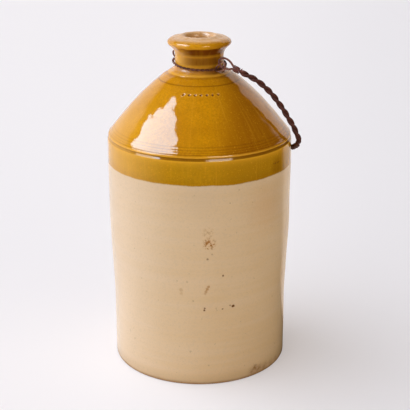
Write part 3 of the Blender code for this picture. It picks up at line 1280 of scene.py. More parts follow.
    def lip_outline(self) -> Array:
        """Neck, flared lip and mouth as one smooth curve through its turning places.

        Returns:
            (n, 2) points of radius and height.
        """
        neck = self.neck_foot_radius - self.neck_fillet
        foot = self.cone_foot_level + self.shoulder_rise
        top = self.lip_top_level
        places = np.array([
            [neck, foot + self.neck_fillet],
            [neck, foot + 0.0090],
            [neck, foot + 0.0135],
            [neck + 0.0005, foot + 0.0166],
            [neck + 0.0020, foot + 0.0196],
            [neck + 0.0044, foot + 0.0222],
            [neck + 0.0063, foot + 0.0240],
            [neck + 0.0068, foot + 0.0257],
            [neck + 0.0061, top - 0.0041],
            [neck + 0.0042, top - 0.0027],
            [neck - 0.0016, top - 0.0012],
            [self.bore_radius + self.mouth_round, top],
            [self.bore_radius + 0.0002, top - 0.0008],
            [self.bore_radius, top - 0.0030],
        ])
        return spline(places, 14)

    def shoulder_outline(self) -> Array:
        """Out along the seam, up the groove and cone, up the neck, over the lip, down inside.

        Returns:
            (n, 2) points of radius and height.
        """
        rim = self.wall.radius - self.groove_depth
        inner = self.wall.radius - self.thickness
        hollow = np.linspace(0.0, 1.0, 30)[:-1]
        groove = np.column_stack([
            rim + (self.cone_foot_radius - rim) * hollow**2,
            self.seam_level + (self.cone_foot_level - self.seam_level) * hollow,
        ])
        slope = self.cone(np.linspace(0.0, 1.0, 700))
        outer = eased(np.vstack([groove, slope]), self.edge_round)
        foot = self.cone_foot_level + self.shoulder_rise
        centre = (self.neck_foot_radius, foot + self.neck_fillet)
        fillet = arc(centre, self.neck_fillet, 240, 180, 20)
        inner_rise = foot - self.thickness / 2 - self.seam_level
        share = np.linspace(1.0, 0.0, 24)
        inside = np.column_stack([
            inner + (self.bore_radius - inner) * share,
            self.seam_level + inner_rise * share + self.shoulder_bulge * 4 * share * (1 - share),
        ])
        start = np.array([[inner, self.seam_level]])
        return np.vstack([start, outer, fillet[1:-1], self.lip_outline(), inside[:-1]])

    def dress_body(self) -> Turned:
        """Body profile with its pale edge of thin glaze and painted highlight, its groove darkened
        by pooled glaze and painted shade, closer rows at the rim and foot.

        Returns:
            The profile, ready to revolve.
        """
        outline = self.body_outline()
        radius, level = outline.T
        corner = int(np.argmax(level))
        inner = self.wall.radius - self.thickness
        outside = (np.arange(len(outline)) <= corner) & (radius > inner - 0.0005)
        edge = self.seam_level - self.groove_half_height
        # Groove: pooled glaze and painted shade. Below the edge: thin glaze and a painted highlight
        # that fades down the wall.
        pooled = self.groove_pool_and_shade_share * outside * smooth_step((level - edge) / self.groove_blur)
        below_edge = np.maximum(edge - level, 0.0)
        thin = self.thin_share * outside * np.exp(-below_edge / self.thin_fade)
        thin = np.maximum(thin - pooled, 0.0)
        none = np.zeros(len(outline))
        near_rim = outside * bell(level - self.seam_level + 0.0010, 0.0045)
        near_foot = outside * bell(level, 0.0040)
        closer = 1 + self.rim_rows * near_rim + self.foot_rows * near_foot
        spacing = np.where(outside, *self.body_spacing) / closer
        return Turned(outline, none, np.column_stack([pooled, thin, none, none]), spacing, corner)

    def dress_shoulder(self) -> Turned:
        """Shoulder profile with its scored rings, fine lines at the foot, ridge, lip and stain, and
        painted shade and highlights on the groove, neck, lip and fillet.

        A ring is a bell-shaped groove. The rows lie closer where the surface has fine form.

        Returns:
            The profile, ready to revolve.
        """
        outline = self.shoulder_outline()
        radius, level = outline.T
        rise = level - (self.cone_foot_level + self.shoulder_rise)
        drop = self.lip_top_level - level
        neck_out = radius - self.neck_foot_radius
        cone_out = radius - self.cone_foot_radius
        order = np.arange(len(outline))
        outside = (order > 0) & (order <= np.argmax(level))
        slope = outside & (rise < self.slope_top) & (neck_out > -self.slope_inset)
        relief, pooled, fineness = np.zeros((3, len(outline)))
        for centre, depth, width, darkness in self.rings:
            ring = slope * bell(radius - centre, width)
            relief -= depth * ring
            pooled = np.maximum(pooled, darkness * ring)
            fineness = np.maximum(fineness, slope * bell(radius - centre, self.ring_reach * width))
        relief += self.ridge_height * slope * bell(cone_out + self.ridge_inset, self.ridge_width)
        groove = outside * smooth_step((self.cone_foot_level - level) / self.groove_blur)
        above_foot = outside & (neck_out < self.neck_reach)
        # Painted shade under the lip.
        under_lip_shade = above_foot * smooth_step((rise - self.under_lip_shade_levels[0]) / self.under_lip_shade_blurs[0])
        under_lip_shade = under_lip_shade * smooth_step((self.under_lip_shade_levels[1] - rise) / self.under_lip_shade_blurs[1])
        # On the neck the pooled share is pooled glaze and painted shade, lightened in a painted
        # highlight band; the thin share is a painted highlight that wear_shoulder keeps on the lamp
        # side.
        below_lip = above_foot & (rise < self.lip_foot)
        sheen = below_lip * bell(rise - self.sheen_level, self.sheen_width)
        neck = below_lip * smooth_step((rise - self.neck_pool_and_shade_level) / self.neck_pool_and_shade_blur)
        neck = neck * (1 - self.sheen_share * sheen)
        # Painted shade and painted highlight on the lip's face, split by side in wear_shoulder.
        lip = outside * bell(drop - self.lip_drop, self.lip_width) * (radius > self.lip_inner)
        # Pale ridge at the cone's foot: thin glaze and a painted highlight. The welt is a painted
        # highlight on the fillet.
        ridge = slope * bell(cone_out, self.ridge_thin_width)
        welt_highlight = slope * bell(neck_out - self.welt_highlight_out, self.welt_highlight_width)
        bore = (order > np.argmax(level)) & (rise > 0.0)
        pools = (
            self.groove_pool_and_shade_share * groove,
            under_lip_shade,
            self.neck_pool_and_shade_share * neck,
            self.lip_pool_and_shade_share * lip,
        )
        for layer in pools:
            pooled = np.maximum(pooled, layer)
        thin = self.thin_share * np.maximum(ridge, welt_highlight)
        for layer in (self.lip_thin_and_highlight_share * lip, self.mouth_share * bore, below_lip):
            thin = np.maximum(thin, layer)
        rubbed = smooth_step((self.bare_drop - drop) / self.bare_blur)
        bare = np.where(outside, rubbed, self.mouth_bare * bore)
        stain = outside * bell(rise - self.stain_level, self.stain_width)
        stain = stain * (neck_out < self.stain_reach)
        mark = slope * bell(neck_out - self.dot_out, self.dot_row_width)
        finer = np.maximum(np.maximum(fineness, mark), np.maximum(ridge, groove))
        curved = outside & (rise > -self.slope_top)
        closer = 1 + self.fine_rows * finer + self.curved_rows * curved
        spacing = np.where(outside, *self.shoulder_spacing) / closer
        return Turned(outline, relief, np.column_stack([pooled, thin, stain, bare]), spacing, 1)

    def dots(self, turn: Array, points: Array) -> Array:
        """Depth share of the row of pressed dots: 1 in a dot, a low rim round it, 0 elsewhere.

        Args:
            turn: (columns,) angles round the axis, from the front.
            points: (rows, 2) profile points.

        Returns:
            (rows, columns) shares, negative on the rims.
        """
        radius = self.neck_foot_radius + self.dot_out
        slope = self.cone(np.array([0.5, 0.9]))
        lean = np.hypot(*np.diff(slope, axis=0)[0]) / abs(slope[1, 0] - slope[0, 0])
        order = np.arange(self.dot_count) - (self.dot_count - 1) / 2
        centres = np.radians(self.dot_azimuth) + order * self.dot_pitch / radius
        across = radius * (np.mod(turn[:, None] - centres + np.pi, 2 * np.pi) - np.pi)
        out, level = points.T
        on_cone = (level < self.cone_foot_level + self.shoulder_rise) & (out > 0.030)
        up = np.where(on_cone, (out - radius) * lean, 1.0)
        apart = np.hypot(across[None], up[:, None, None]) / self.dot_radius
        rims = self.dot_rim * bell(apart - self.dot_rim_place, self.dot_rim_width)
        return (np.exp(-(apart**4)) - rims).sum(axis=2)

    def revolve(
        self, name: str, turned: Turned, rows: int, ripple: Ripple, ring: bool
    ) -> tuple[Surface, Array]:
        """Turn a profile about Z, with its relief, its ripple and, on the cone, the dots.

        Each point is the profile's point moved along its normal by the relief plus the ripple,
        then turned by the column's angle. The ripple fades out inside and at the two ends.

        Args:
            name: used in the log only.
            turned: the profile.
            rows: number of rows.
            ripple: unevenness of the wall.
            ring: whether the profile closes on itself.

        Returns:
            The surface and its (vertices, 4) wear.
        """
        points, normal, walk, relief, wear = turned.sampled(rows)
        turn = np.linspace(-np.pi, np.pi, self.columns, endpoint=False)
        outer = normal[:, 0] > -0.2
        fade = smooth_step((points[:, 1] - self.foot_fade[0]) / self.foot_fade[1]) * outer
        from_seam = np.abs(points[:, 1] - self.seam_level)
        fade = fade * smooth_step((from_seam - self.seam_fade[0]) / self.seam_fade[1])
        lift = relief[:, None] + ripple.on(turn, walk) * fade[:, None]
        wear = np.repeat(wear[:, None], self.columns, axis=1)
        if ring:
            dots = self.dots(turn, points)
            lift = lift - self.dot_depth * dots
            self.wear_shoulder(wear, turn, points, dots)
        radius = points[:, :1] + normal[:, :1] * lift
        level = points[:, 1:] + normal[:, 1:] * lift
        level = np.maximum(level, 0.0)
        grid = np.stack([radius * np.sin(turn), -radius * np.cos(turn), level], axis=-1)
        log.info("%s profile: %d rows over %.1f mm", name, rows, 1000 * walk[-1])
        wear = wear.reshape(-1, 4)
        if ring:
            return Surface(grid, ring_rows=True), wear
        poles = np.array([[0.0, 0.0, points[0, 1]], [0.0, 0.0, points[-1, 1]]])
        wear = np.vstack([wear, np.zeros((2, 4))])
        return Surface(grid, first_pole=poles[0], last_pole=poles[1]), wear

    def wear_shoulder(self, wear: Array, turn: Array, points: Array, dots: Array) -> None:
        """Change the wear, with its painted shade and highlights, round the axis.

        On the neck and lip the painted shade is less, and the painted highlight more, towards the
        lamp side. The glaze also pools in the dots and runs thin on their rims.

        Args:
            wear: (rows, columns, 4) wear, changed in place.
            turn: (columns,) angles round the axis.
            points: (rows, 2) profile points.
            dots: (rows, columns) depth shares of the dots.
        """
        above = points[:, 1] > self.cone_foot_level + self.shoulder_rise
        # Painted shade grows, and painted highlights fade, away from the lamp side.
        around = np.sqrt(0.5 - 0.5 * np.cos(turn - math.radians(self.lamp_side)))
        height = points[above, 1:] - self.lip_top_level
        lip = smooth_step((height + self.lip_shade_by_side_drop) / self.lip_shade_by_side_blur)
        spans = (self.neck_shade_by_side, self.lip_shade_by_side)
        on_neck, on_lip = (np.clip(rate * around - lag, 0.0, 1.0) for rate, lag in spans)
        wear[above, :, 0] *= on_neck + lip * (on_lip - on_neck)
        wear[above, :, 1] *= 1.0 - self.shade_side_thin_loss * around
        wear[..., 0] = np.maximum(wear[..., 0], np.clip(dots, 0.0, 1.0))
        wear[..., 1] = np.maximum(wear[..., 1], np.clip(-self.dot_rim_thin * dots, 0.0, 1.0))

    def build(self, cream: Material, ochre: Material) -> None:
        """Make the body and the shoulder, with their wear, painted shade and painted highlights as
        a colour attribute.

        Args:
            cream: finish of the body.
            ochre: finish of the shoulder.
        """
        body_ripple = Ripple(seed=4, waves=26, most_turns=7, shortest=0.045, height=0.00010)
        cone_ripple = Ripple(seed=11, waves=60, most_turns=16, shortest=0.014, height=0.00007)
        body = self.dress_body(), self.body_rows, body_ripple, False
        shoulder = self.dress_shoulder(), self.shoulder_rows, cone_ripple, True
        made = (
            ("stoneware_body", body, cream, Slot.CREAM),
            ("stoneware_shoulder", shoulder, ochre, Slot.OCHRE),
        )
        for name, form, finish, slot in made:
            surface, wear = self.revolve(name, *form)
            piece = make_piece(name + "_dressed", [surface], finish, Body.FLAGON, (name,))
            layer = piece.data.attributes.new(WEAR, "FLOAT_COLOR", "POINT")
            layer.data.foreach_set("color", wear.astype(np.float32).ravel())


# The wires


@dataclass
class Pivot:
    """Axis that the bail turns on, as a frame: u along it, n towards the bail, Z up."""

    azimuth: float = -50.0
    collar_level: float = 0.2880
    rise: float = 0.0055
    reach: float = 0.0320

    def placed(self, local: Array, level: float) -> Array:
        """Points given as (u, n, up) from a level on the flagon's axis, in the frame.

        Args:
            local: (n, 3) points.
            level: height of their origin.

        Returns:
            (n, 3) points of the model.
        """
        return self.turned(local) + np.array([0.0, 0.0, level])

    def turned(self, local: Array) -> Array:
        """Turn directions into the frame.

        Args:
            local: (..., 3) directions as (u, n, up).

        Returns:
            (..., 3) directions of the model.
        """
        turn = math.radians(self.azimuth)
        u = np.array([math.cos(turn), math.sin(turn), 0.0])
        n = np.array([-math.sin(turn), math.cos(turn), 0.0])
        return local[..., :1] * u + local[..., 1:2] * n + local[..., 2:] * np.array([0.0, 0.0, 1.0])


@dataclass
class Collar:
    """Two wires twisted into a ring round the neck, and the doubled wire eyes that it carries."""

    pivot: Pivot
    radius: float = 0.02403
    wire_radius: float = 0.00057
    wire_offset: float = 0.00059
    twists: int = 18
    points_per_twist: int = 40
    stand_out: float = 0.0014
    stand_out_sharpness: int = 6
    twist_slack: float = 0.35
    tilt: float = 0.0009
    lean: float = 0.0022
    eye_radius: float = 0.0039
    eye_seat: float = 0.0021
    eye_wire_radius: float = 0.00045
    eye_wire_offset: float = 0.00045
    eye_points: int = 60
    rear_stretch: float = 0.70
    rear_lift: float = 0.60
    sides: int = 12

    def ring_path(self, phase: float) -> Array:
        """Middle line of one wire: a ring that stands out at the eyes, wound round by a helix.

        The ring leans, by a cosine, so that it is lowest at the front eye.

        Args:
            phase: start of the helix in radians.

        Returns:
            (n, 3) points round the pivot axis.
        """
        count = self.twists * self.points_per_twist
        around = np.linspace(0.0, 2 * np.pi, count, endpoint=False)
        twist = around * self.twists + phase + self.twist_slack * np.sin(3 * around)
        stand_out = self.stand_out * np.cos(around) ** self.stand_out_sharpness
        radius = self.radius + stand_out + self.wire_offset * np.cos(twist)
        world = around + math.radians(self.pivot.azimuth)
        sag = self.tilt * np.sin(world) * (1 - np.cos(around) ** 2)
        level = self.wire_offset * np.sin(twist) + sag - self.lean * np.cos(around)
        return np.column_stack([radius * np.cos(around), radius * np.sin(around), level])

    def eye_path(self, end: End) -> Array:
        """Middle line of an eye.

        It is a belt round a small circle at the collar and a large one at the pivot, joined by
        their outer tangents. Past the pivot the rear one is pulled longer and up.

        Args:
            end: which eye.

        Returns:
            (n, 3) points.
        """
        small = np.array([self.radius + self.stand_out, -self.lean * end.value])
        large = np.array([self.pivot.reach, self.pivot.rise - self.eye_radius])
        gap = large - small
        lean = math.atan2(gap[1], gap[0])
        wrap = math.acos((self.eye_seat - self.eye_radius) / math.hypot(*gap))
        outer = np.linspace(lean - wrap, lean + wrap, self.eye_points)
        inner = np.linspace(lean + wrap, lean - wrap + 2 * np.pi, self.eye_points)
        loop = np.vstack([
            large + self.eye_radius * np.column_stack([np.cos(outer), np.sin(outer)]),
            small + self.eye_seat * np.column_stack([np.cos(inner), np.sin(inner)]),
        ])
        if end is End.REAR:
            past = np.maximum(loop[:, 0] - self.pivot.reach, 0.0) * self.rear_stretch
            loop = loop + past[:, None] * np.array([1.0, self.rear_lift])
        return np.column_stack([end.value * loop[:, 0], np.zeros(len(loop)), loop[:, 1]])

    def build(self, wire: Material, rubbed: Material) -> None:
        """Make the two collar wires and the two eyes.

        Args:
            wire: finish of the collar.
            rubbed: finish of the eyes, paler than the collar as a painted highlight.
        """
        level = self.pivot.collar_level
        up = np.array([0.0, 0.0, 1.0])
        for letter, phase in (("a", 0.0), ("b", math.pi)):
            path = self.pivot.placed(self.ring_path(phase), level)
            ring = tube(path, self.wire_radius, up, self.sides, ring=True)
            name = f"collar_wire_{letter}"
            make_piece(name + "_dressed", [ring], wire, Body.COLLAR, (name,))
        for end in End:
            path = self.eye_path(end)
            across = self.pivot.turned(np.array([0.0, 1.0, 0.0]))
            lines = []
            for side in (-1.0, 1.0):
                moved = path + np.array([0.0, side * self.eye_wire_offset, 0.0])
                placed = self.pivot.placed(moved, level)
                lines.append(tube(placed, self.eye_wire_radius, across, self.sides, ring=True))
            name = f"{end.name.lower()}_collar_eye"
            make_piece(name + "_dressed", lines, rubbed, Body.COLLAR, (name,))


@dataclass
class Bail:
    """Twisted-wire bail: two strands, each a flattened wire with a loop at one end.

    The middle line is a hoop that stands off the shoulder and goes round the body, a smooth
    curve through marks and their mirror images. A mark gives degrees round the flagon from the
    front pivot, a share of the body's radius and a share of the pivot's height over the seam.
    Rows of (distance, w, b) place things on the line: distance along it, w away from the
    flagon and b across.
    """

    pivot: Pivot
    marks: tuple[Point, ...] = (
        (21.4, 0.498, 0.137),
        (28.9, 0.665, 0.255),
        (33.0, 0.810, 0.425),
        (35.2, 0.930, 0.625),
        (36.9, 1.040, 0.850),
        (38.6, 1.085, 0.985),
        (44.0, 1.070, 1.090),
        (52.0, 1.052, 1.170),
        (66.0, 1.050, 1.275),
        (90.0, 1.056, 1.350),
    )
    body_radius: float = 0.0860
    seam_level: float = 0.2196
    slope_lead: float = 0.0020
    curve_points: int = 40
    strand_offset: float = 0.00099
    strand_radius: float = 0.00094
    twist_pitch: float = 0.0182
    rope_offset: float = 0.00137
    rope_radius: float = 0.00146
    rope_lobes: float = 0.060
    loop_length: float = 0.0122
    loop_end: float = 0.0032
    neck_length: float = 0.0054
    settle: float = 0.0056
    bend_distance: float = 0.109
    bend_width: float = 0.011
    bend_squeeze: float = 0.00055
    bend_swell: float = 0.70
    binding_radius: float = 0.00260
    binding_wire: float = 0.00048
    binding_pitch: float = 0.00125
    binding_turns: float = 4.75
    binding_tail: float = 0.0030
    binding_slack: float = 0.05
    binding_slack_rate: float = 1.7
    step: float = 0.00040
    sides: int = 16

    def __post_init__(self) -> None:
        """Work out the middle line, as (u, n, up) points from the pivot."""
        turn, radius, drop = np.array(self.marks).T
        turn = np.radians(turn)
        radius = radius * self.body_radius
        drop = drop * (self.pivot.collar_level + self.pivot.rise - self.seam_level)
        half = np.column_stack([radius * np.cos(turn), radius * np.sin(turn), -drop])
        half = np.vstack([[self.pivot.reach, 0.0, 0.0], half])
        mirrored = half[-2::-1] * np.array([-1.0, 1.0, 1.0])
        self.curve = spline(np.vstack([half, mirrored]), self.curve_points)
        self.length = float(walked(self.curve)[-1])
        self.lead = self.slope_lead * half[1] / np.hypot(*half[1, 1:])

    def line(self, distance: Array) -> tuple[Array, Array, Array]:
        """Points of the middle line, with the directions away from the flagon and across the line.

        Away is square to the line and to a spoke from the pivot axis.

        Args:
            distance: distances from the front pivot, negative ones before it.

        Returns:
            Points, out and across directions, as (u, n, up) from the pivot.
        """
        inside = np.clip(distance, 0.0, self.length)
        ahead = along_path(self.curve, inside + self.step)
        along = unit(ahead - along_path(self.curve, inside - self.step))
        points = along_path(self.curve, inside)
        slope = np.arctan2(-points[:, 2] - self.lead[2], points[:, 1] + self.lead[1])
        away = np.column_stack([np.zeros(len(slope)), np.sin(slope), np.cos(slope)])
        out = unit(away - (away * along).sum(axis=1)[:, None] * along)
        return points + along * (distance - inside)[:, None], out, np.cross(out, along)

    def placed(self, rows: Array, end: End) -> tuple[Array, Array]:
        """Place rows of (distance, w, b) that start at one end of the bail.

        Args:
            rows: (n, 3) rows.
            end: the end that the distances start from.

        Returns:
            Points of the model and the direction across the line at each.
        """
        distance = rows[:, 0] if end is End.FRONT else self.length - rows[:, 0]
        points, out, across = self.line(distance)
        local = points + out * rows[:, 1:2] + across * (end.value * rows[:, 2:])
        level = self.pivot.collar_level + self.pivot.rise
        return self.pivot.placed(local, level), self.pivot.turned(across * end.value)

    def loop_rows(self) -> Array:
        """Oval loop round the pivot, closing at its neck.

        The distance is L (1 + cos t) / 2 and w is W sin t times the square root of sin(t / 2).

        Returns:
            (n, 3) rows of (distance, w, b).
        """
        length = self.loop_length + self.loop_end
        width = math.sqrt(self.loop_end * length / 2)
        first = (math.sqrt(2.0) * self.strand_offset / width) ** (2 / 3)
        turn = np.linspace(2 * np.pi - first, first, 200)
        distance = length * (1 + np.cos(turn)) / 2 - self.loop_end
        w = width * np.sin(turn) * np.sqrt(np.sin(turn / 2))
        return np.column_stack([distance, w, np.zeros(len(turn))])

    def strand_rows(self) -> tuple[Array, Array, Array]:
        """Middle line of one strand: cut end, loop, straight neck, twisted rope, far neck.

        Under a binding three lines lie in a triangle; from there the pair moves to the middle
        line and begins to twist. Where the rope bends sharply the pair is hammered together.

        Returns:
            Evenly spaced rows, the angle of the twist at each, and the share of rope at each,
            0 in the loop and the necks, 1 in the rope and more where the rope bends sharply.
        """
        loop = self.loop_rows()
        neck = float(loop[-1, 0])
        start = neck + self.neck_length + self.strand_radius
        stop = self.length - start
        turns = round((stop - start) / self.twist_pitch) + 1 / 6
        last = self.length - neck - self.strand_radius
        distance = np.arange(neck + self.strand_radius, last, self.step)
        share = np.clip((distance - start) / (stop - start), 0.0, 1.0)
        _, out, across = self.line(distance)
        swerve = np.append(0.0, np.cumsum((np.diff(out, axis=0) * across[:-1]).sum(axis=1)))
        angle = math.pi / 3 + 2 * np.pi * turns * share - swerve + swerve[-1] * share
        near = 1 - smooth_step((distance - start) / self.settle)
        far = 1 - smooth_step((stop - distance) / self.settle)
        rope = 1 - near - far
        bend = bell(distance - self.bend_distance, self.bend_width)
        bend += bell(self.length - distance - self.bend_distance, self.bend_width)
        offset = self.strand_offset + (self.rope_offset - self.strand_offset) * rope
        offset -= self.bend_squeeze * bend
        side = self.strand_offset * math.sqrt(3) / 2
        w = offset * np.cos(angle) + self.strand_offset / 2 * (near + far)
        b = offset * np.sin(angle) + side * (far - near)
        cut = np.linspace(neck + self.neck_length, neck + self.strand_radius, 12)
        flat = np.zeros(len(cut))
        rows = np.vstack([
            np.column_stack([cut, flat - self.strand_offset, flat]),
            loop,
            np.column_stack([distance, w, b]),
        ])
        before = len(rows) - len(distance)
        angle = np.concatenate([np.full(before, angle[0]), angle])
        rope = np.concatenate([np.zeros(before), rope + self.bend_swell * bend])
        walk = walked(rows)
        even = np.arange(0.0, walk[-1], self.step)
        rows = softened(along_path(rows, even), 3)
        return rows, np.interp(even, walk, angle), np.interp(even, walk, rope)

    def strand(self, end: End) -> Surface:
        """One strand: round in its loop, thicker and flattened round the rope where it twists.

        Args:
            end: the end whose loop the strand makes.

        Returns:
            The strand's surface.
        """
        rows, angle, rope = self.strand_rows()
        path, across = self.placed(rows, end)
        radius = self.strand_radius + (self.rope_radius - self.strand_radius) * rope
        lobes = self.rope_lobes * rope
        return tube(path, radius, across, self.sides, lobes=lobes, spin=np.pi - angle)

    def binding(self, end: End) -> Surface:
        """Coil of thin wire round the neck of a loop, pulled uneven, ending in a cut tail.

        Args:
            end: the loop that it closes.

        Returns:
            The wire's surface.
        """
        neck = float(self.loop_rows()[-1, 0])
        turn = np.linspace(0.0, 2 * np.pi * self.binding_turns, 200)
        distance = neck + self.strand_radius + turn / (2 * np.pi) * self.binding_pitch
        middle = -self.strand_offset / math.sqrt(3)
        slack = self.binding_slack * np.sin(self.binding_slack_rate * turn)
        radius = self.binding_radius * (1 + slack)
        rows = np.column_stack([distance, radius * np.cos(turn), middle + radius * np.sin(turn)])
        leave = unit(rows[-1] - rows[-2]) + np.array([0.0, math.cos(turn[-1]), math.sin(turn[-1])])
        reach = np.linspace(0.0, self.binding_tail, 12)[1:, None]
        rows = softened(np.vstack([rows, rows[-1] + reach * unit(leave)]), 3)
        path, _ = self.placed(rows, end)
        ahead, _ = self.placed(rows + np.array([self.step, 0.0, 0.0]), end)
        return tube(path, self.binding_wire, unit(ahead - path), self.sides)

    def build(self, wire: Material, rubbed: Material) -> None:
        """Make the two strands and the two bindings.

        Args:
            wire: finish of the strands.
            rubbed: finish of the bindings, paler than the strands as a painted highlight.
        """
        for end, letter in ((End.FRONT, "a"), (End.REAR, "b")):
            name = f"bail_wire_{letter}"
            make_piece(name + "_dressed", [self.strand(end)], wire, Body.BAIL, (name,))
            name = f"{end.name.lower()}_eye_binding"
            coil = self.binding(end)
            make_piece(name + "_dressed", [coil], rubbed, Body.BAIL, (name,))


# The studio


def towards(azimuth: float, elevation: float) -> Array:
    """Direction in the frame.

    Args:
        azimuth: degrees from the front.
        elevation: degrees above the floor.

    Returns:
        A vector of length one.
    """
    turn = math.radians(azimuth)
    rise = math.radians(elevation)
    flat = math.cos(rise)
    return np.array([math.sin(turn) * flat, -math.cos(turn) * flat, math.sin(rise)])


def hang(lamp: bpy.types.Light, azimuth: float, elevation: float) -> bpy.types.Object:
    """Put a lamp in the scene, shining from an azimuth and elevation in degrees.

    Args:
        lamp: the lamp.
        azimuth: side that it shines from.
        elevation: angle above the floor that it shines from.

    Returns:
        The object that holds it.
    """
    holder = bpy.data.objects.new(lamp.name, lamp)
    holder.rotation_euler = (math.radians(90 - elevation), 0.0, math.radians(azimuth))
    bpy.context.scene.collection.objects.link(holder)
    return holder


@dataclass(frozen=True)
class Softbox:
    """Square lamp that shows in the glaze, pointed at the shoulder; shift moves it right and up."""

    name: str
    width: float
    height: float
    shift: Pair = (0.0, 0.0)
    azimuth: float = -77.5
    elevation: float = 45.0
    distance: float = 1.60
    radiance: float = 10.0
    tint: Colour = (0.76, 1.0, 1.25)

    def build(self, target: Point) -> None:
        """Hang the lamp at its place; only gloss sees it.

        Args:
            target: point that it faces.
        """
        lamp = bpy.data.lights.new(self.name, "AREA")
        lamp.shape = "RECTANGLE"
        lamp.size = self.width
        lamp.size_y = self.height
        lamp.energy = self.radiance * math.pi * self.width * self.height
        lamp.color = self.tint
        holder = hang(lamp, self.azimuth, self.elevation)
        sideways = self.shift[0] * towards(self.azimuth + 90.0, 0.0)
        upward = self.shift[1] * towards(self.azimuth, self.elevation + 90.0)
        outward = self.distance * towards(self.azimuth, self.elevation)
        holder.location = np.array(target) + outward + sideways + upward
        holder.visible_diffuse = False


@dataclass(frozen=True)
class SkyLamp:
    """Broad soft lamp that lights the object and the floor alike wherever they are."""

    name: str
    azimuth: float
    elevation: float
    level: float
    spread: float
    tint: Colour

    def build(self) -> None:
        """Hang the lamp; gloss doesn't see it, because the softboxes stand for it there."""
        lamp = bpy.data.lights.new(self.name, "SUN")
        lamp.energy = self.level * math.pi
        lamp.angle = math.radians(self.spread)
        lamp.color = self.tint
        hang(lamp, self.azimuth, self.elevation).visible_glossy = False


